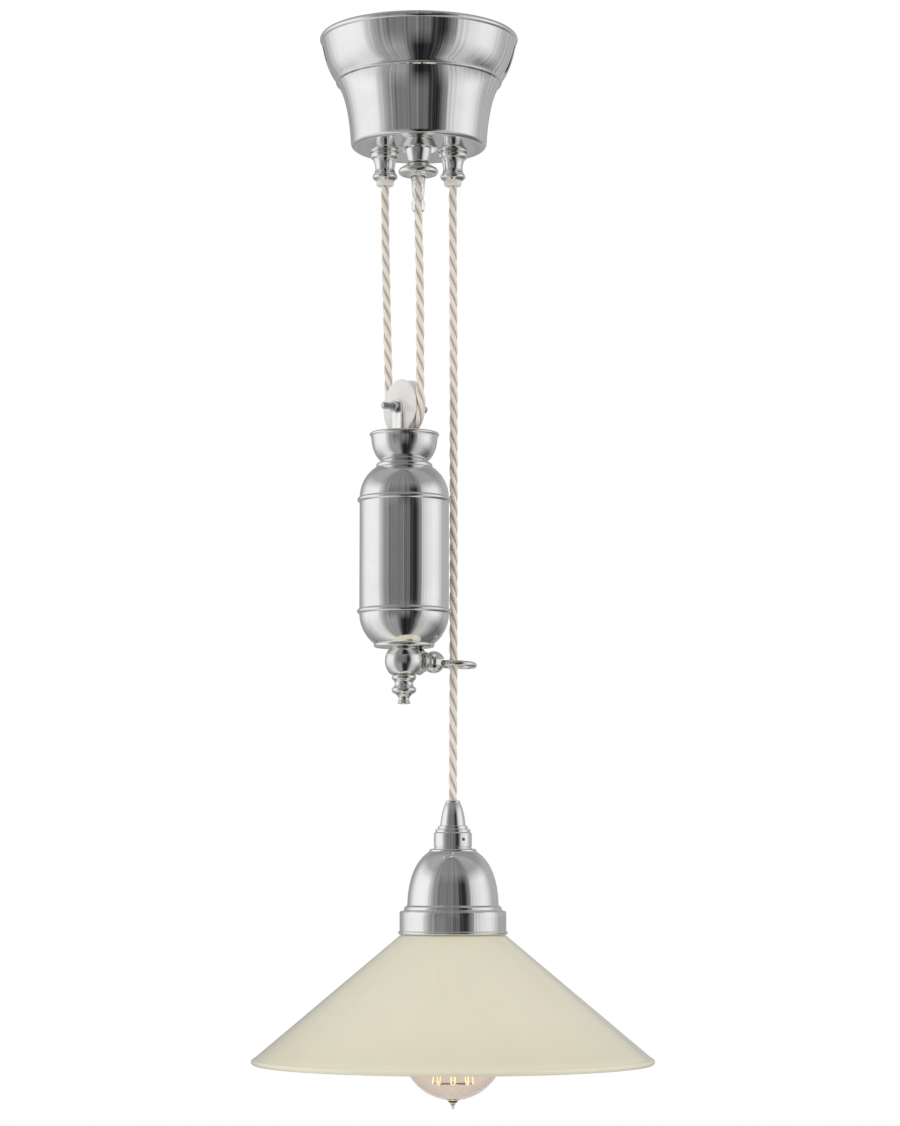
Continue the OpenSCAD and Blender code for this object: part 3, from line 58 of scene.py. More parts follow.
# ---------------------------------------------------------------- twisted flex
# The lamp's cable: three cores, each in a braided cream sleeve, laid up together as a rope
# of 6 mm. It is held in the bushes and pulleys, and free between them in three runs.
MM = 0.001
STRAND_R, STRAND_OUT = 1.88, 1.32
FLEX_R = STRAND_R + STRAND_OUT
LAY_LENGTH = 37.0
ROUTE_STEP = 1.5
PULLEY_CENTRE = Vector((-10.5, -7.5, -287.5))
PULLEY_TURN = radians(36)
AXLE_DIR = Vector((-cos(PULLEY_TURN), -sin(PULLEY_TURN), 0.0))
GROOVE_R = 20.5
# The three glands stand this far apart, the middle one in front. Heights are from the ceiling.
SPACING = 52
SIDE_X, BACK_Y = SPACING / 2, SPACING / (2 * sqrt(3))
SIDE_MOUTH, MIDDLE_MOUTH, UPPER_AXLE = -112.6, -142, -45.8


def put(tree, socket, value):
    """Gives an input a plain value, or links another node's output to it."""
    if isinstance(value, bpy.types.NodeSocket):
        tree.links.new(value, socket)
    else:
        socket.default_value = value


def fill(tree, node, **inputs):
    """Fills a node's inputs by their names; returns its outputs."""
    for name, value in inputs.items():
        put(tree, node.inputs[name.replace("_", " ")], value)
    return node.outputs


def add_node(tree, kind, settings=None, **inputs):
    """Adds a shader node with its settings and inputs; returns its outputs."""
    node = tree.nodes.new("ShaderNode" + kind)
    for name, value in (settings or {}).items():
        setattr(node, name, value)
    return fill(tree, node, **inputs)


def new_material(name, **plain):
    """A material with a Principled shader, whose plain sockets are set here."""
    material = bpy.data.materials.new(name)
    material.use_nodes = True
    tree = material.node_tree
    shader = tree.nodes["Principled BSDF"]
    fill(tree, shader, **plain)
    return material, tree, shader


def new_group(name, given, made):
    """An empty node group with the numbers it is given and those it makes."""
    group = bpy.data.node_groups.new(name, "ShaderNodeTree")
    for names, way in ((given, "INPUT"), (made, "OUTPUT")):
        for socket in names:
            group.interface.new_socket(socket, in_out=way, socket_type="NodeSocketFloat")
    return group, group.nodes.new("NodeGroupInput").outputs, group.nodes.new("NodeGroupOutput")


def math_node(tree, operation, *values):
    """One step of arithmetic, on plain numbers or other nodes' outputs."""
    node = tree.nodes.new("ShaderNodeMath")
    node.operation = operation
    for socket, value in zip(node.inputs, values):
        put(tree, socket, value)
    return node.outputs[0]


def ramp(tree, value, *stops):
    """Colours or greys along a value: each stop is a position and a tone."""
    node = tree.nodes.new("ShaderNodeValToRGB")
    elements = node.color_ramp.elements
    while len(elements) < len(stops):
        elements.new(0.5)
    for element, (position, tone) in zip(elements, stops):
        element.position = position
        element.color = (*tone, 1) if isinstance(tone, tuple) else (tone, tone, tone, 1)
    return fill(tree, node, Fac=value)["Color"]


def multiply(tree, colour, other, amount=1.0):
    """A colour multiplied by another, as far as the amount says."""
    node = tree.nodes.new("ShaderNodeMix")
    node.data_type = "RGBA"
    node.blend_type = "MULTIPLY"
    for socket, value in (("Factor", amount), (6, colour), (7, other)):
        put(tree, node.inputs[socket], value)
    return node.outputs[2]


def relief(tree, shader, height, strength, depth):
    """Bumps a surface by a height, at most this deep in metres."""
    bump = add_node(tree, "Bump", Strength=strength, Distance=depth, Height=height)
    fill(tree, shader, Normal=bump["Normal"])


def braid_group():
    """Crossed threads, streaks of yarn and a mask for painted shade in the creases between the strands, from
    a UV map in millimetres.
    """
    group, given, end = new_group("braided sleeve", ("Thread",), ("Height", "Fuzz", "Streaks", "Crease"))
    uv = add_node(group, "UVMap", {"uv_map": "braid"})[0]
    over, along, _ = add_node(group, "SeparateXYZ", Vector=uv)
    turn = math_node(group, "MULTIPLY", given["Thread"], 2 * pi)
    slants = [math_node(group, way, over, along) for way in ("ADD", "SUBTRACT")]
    threads = [math_node(group, "SINE", math_node(group, "MULTIPLY", slant, turn)) for slant in slants]
    made = {"Height": math_node(group, "ABSOLUTE", math_node(group, "MULTIPLY", *threads))}
    for name, scale, stretch in (("Fuzz", 2.2, (1, 1, 1)), ("Streaks", 1.0, (1.3, 0.10, 1))):
        drawn = add_node(group, "Mapping", Vector=uv, Scale=stretch)[0]
        made[name] = add_node(group, "TexNoise", Vector=drawn, Scale=scale, Detail=3.0)["Fac"]
    made["Crease"] = add_node(group, "MapRange", {"interpolation_type": "SMOOTHSTEP"}, From_Min=1.3,
                              From_Max=3.0, Value=math_node(group, "ABSOLUTE", over))["Result"]
    fill(group, end, **made)
    return group


def flex_material():
    """Cream yarn, streaked along the strands, with painted shade between its threads and in the creases."""
    material, tree, shader = new_material("cream braided flex", Roughness=0.85, Sheen_Weight=0.3,
                                          Sheen_Roughness=0.5, Specular_IOR_Level=0.3)
    braid = add_node(tree, "Group", {"node_tree": braid_group()}, Thread=0.8)
    colour = ramp(tree, braid["Streaks"], (0.33, (0.83, 0.73, 0.65)), (0.46, (0.97, 0.88, 0.795)),
                  (0.60, (0.99, 0.94, 0.87)))
    # Painted shade: darker between the crossed threads and in the creases between the strands
    painted_thread_gap_shade = math_node(tree, "MULTIPLY", math_node(tree, "SUBTRACT", 1.0, braid["Height"]), 0.5)
    fuzz = math_node(tree, "MULTIPLY", braid["Fuzz"], 0.2)
    colour = multiply(tree, colour, (0.86, 0.83, 0.80, 1), painted_thread_gap_shade)
    colour = multiply(tree, colour, (0.56, 0.50, 0.46, 1), braid["Crease"])
    colour = multiply(tree, colour, (0.84, 0.88, 0.92, 1), fuzz)
    fill(tree, shader, Base_Color=colour)
    relief(tree, shader, braid["Height"], 0.5, 0.0002)
    return material


cream_flex = flex_material()


def select_only(piece):
    """Selects this piece alone and makes it the active one."""
    bpy.ops.object.select_all(action="DESELECT")
    piece.select_set(True)
    bpy.context.view_layer.objects.active = piece


def smooth_route(points):
    """Points every ROUTE_STEP millimetres along a smooth line through the route."""
    dense = []
    pts = [Vector(p) for p in points]
    for i in range(len(pts) - 1):
        a, b = pts[max(i - 1, 0)], pts[i]
        c, d = pts[i + 1], pts[min(i + 2, len(pts) - 1)]
        n = max(2, int((c - b).length))
        for k in range(n):
            t = k / n
            dense.append(0.5 * ((2 * b) + (c - a) * t + (2 * a - 5 * b + 4 * c - d) * t * t
                                + (3 * b - a - 3 * c + d) * t * t * t))
    dense.append(pts[-1])
    out, left = [dense[0]], ROUTE_STEP
    for a, b in zip(dense, dense[1:]):
        seg = (b - a).length
        at = 0.0
        while seg - at >= left:
            at += left
            out.append(a.lerp(b, at / seg))
            left = ROUTE_STEP
        left -= seg - at
    if (out[-1] - dense[-1]).length < 0.4 * ROUTE_STEP:
        out.pop()
    out.append(dense[-1])
    return out


def lay_flex(name, line, side, start):
    """Three strands laid up along the line; returns the piece and where its lay ends."""
    lobe = [radians(a) for a in range(-96, 97, 24)]
    vertices, faces, uvs, s = [], [], [], start
    per_ring = 3 * len(lobe)
    lengths = []
    for i, p in enumerate(line):
        if i:
            s += (p - line[i - 1]).length
        lengths.append(s)
        t = (line[min(i + 1, len(line) - 1)] - line[max(i - 1, 0)]).normalized()
        u = (side - side.dot(t) * t).normalized()
        w = t.cross(u)
        for k in range(3):
            middle = 2 * pi * (k / 3 - s / LAY_LENGTH)
            for a in lobe:
                x = STRAND_OUT * cos(middle) + STRAND_R * cos(middle + a)
                y = STRAND_OUT * sin(middle) + STRAND_R * sin(middle + a)
                vertices.append((p + u * x + w * y) * MM)
    for i in range(len(line) - 1):
        for k in range(per_ring):
            m = (k + 1) % per_ring
            a, b = i * per_ring + k, i * per_ring + m
            faces.append((a, b, b + per_ring, a + per_ring))
            u0 = STRAND_R * lobe[k % len(lobe)]
            u1 = u0 if m % len(lobe) == 0 else STRAND_R * lobe[m % len(lobe)]
            uvs.append(((u0, lengths[i]), (u1, lengths[i]), (u1, lengths[i + 1]), (u0, lengths[i + 1])))
    faces.append(tuple(reversed(range(per_ring))))
    uvs.append(tuple((0.0, lengths[0]) for _ in range(per_ring)))
    last = (len(line) - 1) * per_ring
    faces.append(tuple(range(last, last + per_ring)))
    uvs.append(tuple((0.0, lengths[-1]) for _ in range(per_ring)))
    mesh = bpy.data.meshes.new(name)
    mesh.from_pydata(vertices, [], faces)
    layer = mesh.uv_layers.new(name="braid")
    for polygon, corner_uvs in zip(mesh.polygons, uvs):
        for loop, uv in zip(polygon.loop_indices, corner_uvs):
            layer.data[loop].uv = uv
        polygon.use_smooth = True
    piece = bpy.data.objects.new(name, mesh)
    bpy.context.collection.objects.link(piece)
    select_only(piece)
    bpy.ops.object.mode_set(mode="EDIT")
    bpy.ops.mesh.select_all(action="SELECT")
    bpy.ops.mesh.normals_make_consistent(inside=False)
    bpy.ops.object.mode_set(mode="OBJECT")
    bpy.ops.object.shade_smooth_by_angle(angle=radians(50))
    mesh.materials.append(cream_flex)
    return piece, s


# The route's points are those of the part's own free runs, in millimetres.
left_route = [
    (-26, 15, SIDE_MOUTH), (-26, 15, -120), (-25.9, 14.9, -130), (-25.8, 14.7, -141), (-25.6, 14.3, -153),
    (-25.3, 13.9, -165), (-25.1, 13.5, -177), (-24.8, 13.1, -189), (-24.5, 12.6, -201),
    (-24.2, 12.1, -213), (-23.9, 11.6, -225), (-23.6, 11.1, -237), (-23.3, 10.5, -249),
    (-23, 9.9, -261), (-22.7, 9.4, -273), (-22.55, 9.1, -282), (-22.55, 9.1, -287.5)]
middle_route = [
    (0, -30, MIDDLE_MOUTH), (0, -30, -146), (0.2, -29.8, -155), (0.5, -29.5, -165), (0.8, -29.1, -175),
    (1, -28.6, -185), (1.2, -28.1, -195), (1.3, -27.6, -205), (1.4, -27.1, -215), (1.4, -26.6, -225),
    (1.5, -26.1, -235), (1.5, -25.6, -245), (1.5, -25.1, -255), (1.5, -24.6, -265),
    (1.55, -24.2, -275), (1.55, -24.1, -283), (1.55, -24.1, -287.5)]
lamp_run_x = (26, 26, 26.1, 26.2, 26.3, 26.4, 26.4, 26.5, 26.5, 26.6, 26.6, 26.6, 26.6, 26.6, 26.6, 26.6,
              26.6, 26.6, 26.6, 26.5, 26.5, 26.5, 26.4, 26.4, 26.3, 26.2, 26.1, 26.1)
lamp_route = [(26, 15, SIDE_MOUTH)] + [(x, 15, -122 - 16 * k) for k, x in enumerate(lamp_run_x)]
lamp_route += [(26, 15, -566), (26, 15, -576), (26, 15, -582)]


def free_run(name, node, line, side, start=0.0):
    """A run of flex between the canopy and a moving body; returns where its lay ends."""
    piece, s = lay_flex(name, line, side, start)
    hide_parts(node)
    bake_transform(piece)
    return s


def held_flex(name, node, line, side, body, start=0.0):
    """A stretch of flex that stays with one body; returns where its lay ends."""
    piece, s = lay_flex(name, line, side, start)
    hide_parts(node)
    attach(piece, body)
    return s


ACROSS, UP = Vector((0, 1, 0)), Vector((0, 0, 1))
left_line = smooth_route(left_route)
lay = free_run("flex_left_run", "left_cord_run", left_line, AXLE_DIR)

# The half turn round the counterweight's pulley goes on from the left run, from back to front.
out_dir = AXLE_DIR.cross(UP)
half_turn = [pi * i / 48 for i in range(49)]
wrap_line = [PULLEY_CENTRE + GROOVE_R * (cos(a) * out_dir - sin(a) * UP) for a in half_turn]
if (wrap_line[0] - left_line[-1]).length > (wrap_line[-1] - left_line[-1]).length:
    wrap_line.reverse()
lay = held_flex("flex_round_pulley", "pulley_cord", wrap_line, AXLE_DIR, "counterweight", lay)
lay = free_run("flex_middle_run", "middle_cord_run", smooth_route(middle_route)[::-1], AXLE_DIR,
               lay)
dead_line = [Vector((0, -30.02, MIDDLE_MOUTH + ROUTE_STEP * i)) for i in range(85)]
held_flex("flex_dead_end", "dead_end_cord", dead_line, AXLE_DIR, "canopy", lay)

lay = free_run("flex_lamp_run", "lamp_cord_run", smooth_route(lamp_route), ACROSS)
# Up from the left gland, over the canopy's pulley and down to the right gland, in short even steps
UP_STEP, DOWN_STEP = 1.4213, 1.3917
half_turn = [pi * i / 54 for i in range(55)]
loop_line = [Vector((-SIDE_X, BACK_Y, SIDE_MOUTH + UP_STEP * i)) for i in range(48)]
loop_line += [Vector((-SIDE_X * cos(a), BACK_Y, UPPER_AXLE + SIDE_X * sin(a))) for a in half_turn]
loop_line += [Vector((SIDE_X, BACK_Y, UPPER_AXLE - DOWN_STEP * i)) for i in range(1, 49)]
held_flex("flex_over_canopy_pulley", "canopy_cord", loop_line, ACROSS, "canopy")

# ---------------------------------------------------------------- canopy
# A cup spun from brass sheet 1.2 mm thick, with a rolled rim, a raised ring round its waist and
# a flat bottom, polished and nickel plated. Two upright slots in its sides let the clips out.


def curve(a, b, c, d, n):
    """Points along a smooth curve from a to d, drawn towards b and c on its way."""
    out = []
    for i in range(n + 1):
        t = i / n
        s = 1 - t
        out.append(tuple(s ** 3 * a[k] + 3 * s * s * t * b[k] + 3 * s * t * t * c[k] + t ** 3 * d[k]
                         for k in range(2)))
    return out


def arc(r, z, rad, first, last, n):
    """Points along an arc round (r, z), from one angle in degrees to another."""
    angles = [radians(first + (last - first) * i / n) for i in range(n + 1)]
    return [(r + rad * cos(a), z + rad * sin(a)) for a in angles]


def inset(points, wall):
    """The same line, moved inwards by a wall's thickness."""
    out = []
    for i, p in enumerate(points):
        a, b = points[max(i - 1, 0)], points[min(i + 1, len(points) - 1)]
        d = hypot(b[0] - a[0], b[1] - a[1]) or 1.0
        out.append((max(p[0] + wall * (b[1] - a[1]) / d, 0.0), p[1] - wall * (b[0] - a[0]) / d))
    return out


def apply_modifier(piece, kind, **settings):
    """Puts a modifier with these settings on a piece and applies it."""
    select_only(piece)
    modifier = piece.modifiers.new(kind.lower(), kind)
    for key, value in settings.items():
        setattr(modifier, key, value)
    bpy.ops.object.modifier_apply(modifier=modifier.name)


def settle(piece, sharp):
    """Merges doubles, turns the faces outwards and smooths all but the sharp edges."""
    select_only(piece)
    bpy.ops.object.transform_apply(location=True, rotation=True, scale=True)
    bpy.ops.object.mode_set(mode="EDIT")
    bpy.ops.mesh.select_all(action="SELECT")
    bpy.ops.mesh.remove_doubles(threshold=0.000004)
    bpy.ops.mesh.normals_make_consistent(inside=False)
    bpy.ops.object.mode_set(mode="OBJECT")
    bpy.ops.object.shade_smooth_by_angle(angle=radians(sharp))


def turn_profile(name, points, steps, sharp=35):
    """Draws a profile of [radius, height] in millimetres point by point and spins it round Z."""
    bpy.ops.object.select_all(action="DESELECT")
    bpy.ops.mesh.primitive_plane_add(size=0.001, location=(0, 0, 0))
    piece = bpy.context.object
    piece.name = name
    bpy.ops.object.mode_set(mode="EDIT")
    bpy.ops.mesh.select_all(action="SELECT")
    bpy.ops.mesh.merge(type="CENTER")
    bpy.ops.transform.translate(value=(points[0][0] * MM, 0, points[0][1] * MM))
    line = list(points) + [points[0]]
    for a, b in zip(line, line[1:]):
        if hypot(b[0] - a[0], b[1] - a[1]) > 1e-6:
            bpy.ops.mesh.extrude_region_move(
                TRANSFORM_OT_translate={"value": ((b[0] - a[0]) * MM, 0, (b[1] - a[1]) * MM)})
    bpy.ops.mesh.select_all(action="SELECT")
    bpy.ops.mesh.spin(steps=steps, angle=2 * pi, center=(0, 0, 0), axis=(0, 0, 1))
    bpy.ops.object.mode_set(mode="OBJECT")
    settle(piece, sharp)
    return piece


def place(piece, at, turn=None):
    """Moves a finished piece to its place in the mesh itself, in millimetres."""
    matrix = Matrix.Translation(Vector(at) * MM)
    if turn is not None:
        matrix = matrix @ turn
    select_only(piece)
    piece.matrix_world = matrix
    bpy.context.view_layer.update()
    bpy.ops.object.transform_apply(location=True, rotation=True, scale=True)
    return piece


def weld(piece, other, operation):
    """Joins another piece to this one, or cuts this one with it."""
    apply_modifier(piece, "BOOLEAN", object=other, operation=operation, solver="EXACT")
    bpy.data.objects.remove(other, do_unlink=True)


def cylinder(sides, radius, depth, at=(0, 0, 0), **more):
    """A plain cylinder, measured in millimetres."""
    bpy.ops.object.select_all(action="DESELECT")
    bpy.ops.mesh.primitive_cylinder_add(vertices=sides, radius=radius * MM, depth=depth * MM,
                                        location=[v * MM for v in at], **more)
    return bpy.context.object


def polish_group():
    """Traces of use on a turned and polished surface: faint turning lines, smears and fine scratches."""
    group, given, end = new_group("polished surface", ("Line Scale", "Smear Scale"),
                                  ("Lines", "Smears", "Scratches"))
    where = add_node(group, "TexCoord")["Object"]
    level = add_node(group, "CombineXYZ", Z=add_node(group, "SeparateXYZ", Vector=where)["Z"])[0]
    lines = add_node(group, "TexNoise", Vector=level, Scale=given["Line Scale"], Detail=3.0)["Fac"]
    smears = add_node(group, "TexNoise", Vector=where, Scale=given["Smear Scale"], Detail=6.0, Roughness=0.62,
                      Distortion=0.6)["Fac"]
    stretched = add_node(group, "Mapping", Vector=where, Scale=(1.0, 1.0, 14.0), Rotation=(0.4, 0.25, 0.0))[0]
    scratches = add_node(group, "TexNoise", Vector=stretched, Scale=180.0, Detail=2.0)["Fac"]
    thin = add_node(group, "MapRange", Value=scratches, From_Min=0.62, From_Max=0.72)["Result"]
    fill(group, end, Lines=lines, Smears=smears, Scratches=thin)
    return group


polished = polish_group()


def metal(name, light, dull, gloss, worn, lines=900.0, smears=28.0, height=0.00001, strength=0.12):
    """A plated or bare metal: its colour from dull to light and its roughness from gloss to worn."""
    material, tree, shader = new_material(name, Metallic=1.0)
    use = add_node(tree, "Group", {"node_tree": polished}, Line_Scale=lines, Smear_Scale=smears)
    rough = add_node(tree, "MapRange", Value=use["Smears"], From_Min=0.35, From_Max=0.75,
                     To_Min=gloss, To_Max=worn)
    worn_more = math_node(tree, "MULTIPLY", use["Scratches"], 0.05)
    fill(tree, shader, Base_Color=ramp(tree, use["Smears"], (0.3, dull), (0.62, light)),
         Roughness=math_node(tree, "ADD", rough["Result"], worn_more))
    relief(tree, shader, use["Lines"], strength, height)
    return material


nickel = metal("polished nickel plate", (0.87, 0.87, 0.865), (0.81, 0.81, 0.805), 0.03, 0.065)


def finish(piece, material, slot_name, body, *nodes):
    """Gives a piece its material and body, and hides the part's own nodes that it stands in for."""
    piece.data.materials.clear()
    piece.data.materials.append(material)
    if nodes:
        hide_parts(*nodes)
    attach(piece, body)
    return piece


def turned(name, points, at, material, slot_name, body, *nodes, turn=None, steps=128, sharp=35):
    """A turned piece that needs no more work: spun, put in its place and finished."""
    piece = place(turn_profile(name, points, steps, sharp), at, turn)
    return finish(piece, material, slot_name, body, *nodes)


CANOPY_R, WAIST_R, BASE_R, CANOPY_H, BELL_H, CANOPY_WALL = 75.6, 62.5, 51.7, 87.0, 35.0, 1.2
bell = curve((CANOPY_R - 1.2, -5), (CANOPY_R - 3, -13), (WAIST_R + 8.2, -BELL_H + 9.5),
             (WAIST_R, -BELL_H), 28)
flare = curve((WAIST_R - 0.4, -BELL_H - 1.5), (WAIST_R - 5, -BELL_H - 9), (BASE_R + 1.8, -BELL_H - 21),
              (BASE_R, -CANOPY_H + 4), 30)
flat_foot = arc(BASE_R - 4, -CANOPY_H + 4, 4, -6, -90, 14) + [(r, -CANOPY_H) for r in (40, 20, 0)]
canopy_side = arc(CANOPY_R - 2.4, -2.4, 2.4, 200, -62, 26) + bell[:-1]
canopy_side += arc(WAIST_R - 0.1, -BELL_H - 0.7, 0.95, 62, -66, 10) + flare[1:] + flat_foot
canopy_side += inset(bell + flare + flat_foot, CANOPY_WALL)[::-1]
canopy = turn_profile("canopy", canopy_side, steps=160, sharp=28)

SLOT_W, SLOT_Y = 5.4, -8.0


def slot_cutter(side, high, low):
    """A lying cylinder, its lower half pulled down to the slot's foot."""
    cutter = cylinder(32, SLOT_W / 2, 50, (side * 73, SLOT_Y, high), rotation=(0, pi / 2, 0))
    bpy.ops.object.mode_set(mode="EDIT")
    bpy.ops.mesh.select_all(action="DESELECT")
    bpy.ops.object.mode_set(mode="OBJECT")
    for v in cutter.data.vertices:
        v.select = (cutter.matrix_world @ v.co).z < high * MM - 1e-6
    bpy.ops.object.mode_set(mode="EDIT")
    bpy.ops.transform.translate(value=(0, 0, (low - high) * MM))
    bpy.ops.object.mode_set(mode="OBJECT")
    return cutter


SLOT_TOP, RIGHT_SLOT_FOOT, LEFT_SLOT_FOOT = bell[5][1] - 0.4, -27.6, -17.6
weld(canopy, slot_cutter(1, SLOT_TOP, RIGHT_SLOT_FOOT), "DIFFERENCE")
weld(canopy, slot_cutter(-1, SLOT_TOP, LEFT_SLOT_FOOT), "DIFFERENCE")
settle(canopy, 28)
finish(canopy, nickel, "nickel", "canopy", "canopy_shell")

# ---------------------------------------------------------------- spring clips
# Two hairpins of hard spring wire, hooked into the bracket's lugs. Each springs out through its
# slot and lies along the canopy's wall, so that the canopy is held up and comes off by hand.
zinc = metal("bright zinc plate", (0.66, 0.67, 0.68), (0.50, 0.51, 0.53), 0.20, 0.38, lines=300.0,
             smears=60.0, height=0.00002, strength=0.3)
dark_steel = metal("spring steel wire", (0.34, 0.34, 0.35), (0.22, 0.22, 0.23), 0.22, 0.4, lines=500.0,
                   smears=90.0)


def bent_wire(name, points, thickness):
    """A round wire bent along points, in millimetres, with its ends closed."""
    line = bpy.data.curves.new(name, "CURVE")
    line.dimensions = "3D"
    line.bevel_depth = thickness / 2 * MM
    line.bevel_resolution = 4
    line.use_fill_caps = True
    spline = line.splines.new("POLY")
    spline.points.add(len(points) - 1)
    for p, q in zip(spline.points, points):
        p.co = (*(Vector(q) * MM), 1)
    piece = bpy.data.objects.new(name, line)
    bpy.context.collection.objects.link(piece)
    select_only(piece)
    bpy.ops.object.convert(target="MESH")
    piece = bpy.context.object
    settle(piece, 60)
    return piece


def wall_x(r):
    """How far out the canopy's wall of this radius stands at the slots."""
    return sqrt(r * r - SLOT_Y * SLOT_Y)


def clip_points(side, low_r, low_z):
    """A hairpin: out of the lug level, bent down along the wall, round its nose and back."""
    half, inside, top_z = 1.6, 61.6, -8.1
    out, low = wall_x(73.6) - 0.8, wall_x(low_r) - 0.8
    knee_x, knee_z = out - 0.2, top_z - 1.6
    leg = [(inside, top_z), (out - 3, top_z), (out - 1, top_z - 0.4), (knee_x, knee_z)]
    leg += [(knee_x + (low - knee_x) * t, knee_z + (low_z - knee_z) * t) for t in (0.33, 0.66, 1.0)]
    nose = [radians(18 * i) for i in range(1, 10)]
    path = [(side * x, SLOT_Y - half, z) for x, z in leg]
    path += [(side * low, SLOT_Y - half * cos(a), low_z - half * sin(a)) for a in nose]
    path += [(side * x, SLOT_Y + half, z) for x, z in reversed(leg)]
    return path


CLIP_WIRE = 1.4
right_clip = bent_wire("clip_right", clip_points(1, 65.6, -26.6), CLIP_WIRE)
left_clip = bent_wire("clip_left", clip_points(-1, 70.6, -16.6), CLIP_WIRE)
finish(right_clip, dark_steel, "zinced_steel", "canopy", "spring_clips")
finish(left_clip, dark_steel, "zinced_steel", "canopy")


# ---------------------------------------------------------------- bracket and terminals
# A strap pressed from zinc plated steel, screwed to the ceiling through two slots. Its tab
# carries the terminal block and its lugs hold the clips; the earth wire goes under a brass screw.


def repaint(material, *names):
    """Gives the part's own nodes this material."""
    for name in names:
        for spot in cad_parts[name].material_slots:
            spot.material = material


def round_edges(piece, width, segments=2, angle=50):
    """Rounds off the edges sharper than an angle in degrees, by a width in millimetres."""
    apply_modifier(piece, "BEVEL", width=width * MM, segments=segments, limit_method="ANGLE",
                   angle_limit=radians(angle))
    select_only(piece)
    bpy.ops.object.shade_smooth_by_angle(angle=radians(35))


def softened(name, node, width, material, slot_name, body):
    """A copy of one of the part's own solids with its edges rounded off, in place of that node."""
    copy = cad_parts[node].copy()
    copy.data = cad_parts[node].data.copy()
    copy.name = name
    copy.parent = None
    copy.matrix_world = Matrix.Identity(4)
    for key in list(copy.keys()):
        del copy[key]
    bpy.context.collection.objects.link(copy)
    select_only(copy)
    bpy.ops.object.mode_set(mode="EDIT")
    bpy.ops.mesh.select_all(action="SELECT")
    bpy.ops.mesh.remove_doubles(threshold=0.00001)
    bpy.ops.mesh.dissolve_limited(angle_limit=radians(1.0))
    bpy.ops.object.mode_set(mode="OBJECT")
    round_edges(copy, width, angle=30)
    finish(copy, material, slot_name, body, node)


brass = metal("turned brass", (0.72, 0.52, 0.25), (0.55, 0.38, 0.17), 0.14, 0.32, lines=1200.0, smears=50.0,
              height=0.00002, strength=0.25)
softened("bracket", "ceiling_bracket", 0.25, zinc, "zinced_steel", "canopy")


def object_noise(tree, scale, **more):
    """Noise laid out in the object's own coordinates."""
    return add_node(tree, "TexNoise", Vector=add_node(tree, "TexCoord")["Object"], Scale=scale, **more)["Fac"]


def moulded(name, colour, tint, gloss, grain=900.0, height=0.00002, **plain):
    """Moulded or glazed: two close colours in soft clouds, with a fine uneven skin."""
    material, tree, shader = new_material(name, Roughness=gloss, **plain)
    clouds = object_noise(tree, 35.0, Detail=3.0)
    fill(tree, shader, Base_Color=ramp(tree, clouds, (0.35, tint), (0.65, colour)))
    relief(tree, shader, object_noise(tree, grain, Detail=2.0), 0.3, height)
    return material


white_plastic = moulded("white moulded plastic", (0.80, 0.79, 0.75), (0.72, 0.71, 0.67), 0.32)
softened("terminal_housing", "terminal_block", 0.4, white_plastic, "white_plastic", "canopy")
repaint(brass, "terminal_screws", "earth_screw", "cord_clamp")
repaint(zinc, "block_screw", "clamp_screw")

# ---------------------------------------------------------------- glands
# Three turned and plated cord glands, drawn down on the canopy's floor by lock nuts. The middle
# one takes the dead end of the flex: it has a domed washer above and a bell below.
FLANGE_R, NECK_R, GLAND_H, GLAND_BEAD_R, BORE_R = 11.3, 7.5, 21.6, 9.6, 3.6
gland_side = [(FLANGE_R - 1.0, 0), (FLANGE_R - 1.0, -0.3)]
gland_side += curve((FLANGE_R - 0.2, -0.4), (FLANGE_R + 0.4, -1.5), (FLANGE_R, -3), (FLANGE_R - 1, -4.2), 10)
gland_side += [(FLANGE_R - 1.7, -4.5), (FLANGE_R - 1.9, -4.7)]
gland_side += curve((FLANGE_R - 2.1, -5), (NECK_R + 0.9, -6.6), (NECK_R, -8.5), (NECK_R - 0.1, -13), 14)
gland_side += curve((NECK_R, -GLAND_H + 8.6), (NECK_R + 0.2, -GLAND_H + 6.6), (NECK_R + 0.8, -GLAND_H + 6),
                    (GLAND_BEAD_R - 0.7, -GLAND_H + 5.2), 8)
gland_side += arc(GLAND_BEAD_R - 2, -GLAND_H + 3.2, 2, 50, -60, 14)
gland_side += [(6.9, -GLAND_H), (BORE_R, -GLAND_H)]
LEFT_AT, RIGHT_AT, MIDDLE_AT = (-SIDE_X, BACK_Y), (SIDE_X, BACK_Y), (0, -SPACING / sqrt(3))
STEM = [(BORE_R, 8.7), (5, 8.7), (5, 0)]
for side_name, spot in (("left", LEFT_AT), ("right", RIGHT_AT)):
    turned(f"gland_{side_name}", STEM + gland_side, (*spot, -CANOPY_H), nickel, "nickel", "canopy",
           f"{side_name}_gland", steps=96)

WASHER_R, WASHER_H, WASHER_T = 15.0, 7.6, 0.9
washer_top = [(5.1, 0)] + curve((FLANGE_R, 0), (FLANGE_R + 1, -1), (WASHER_R - 1.2, -WASHER_H + 3),
                                (WASHER_R, -WASHER_H), 18)
turned("domed_washer_plate", washer_top + inset(washer_top, WASHER_T)[::-1], (*MIDDLE_AT, -CANOPY_H),
       nickel, "nickel", "canopy", "domed_washer", steps=96)

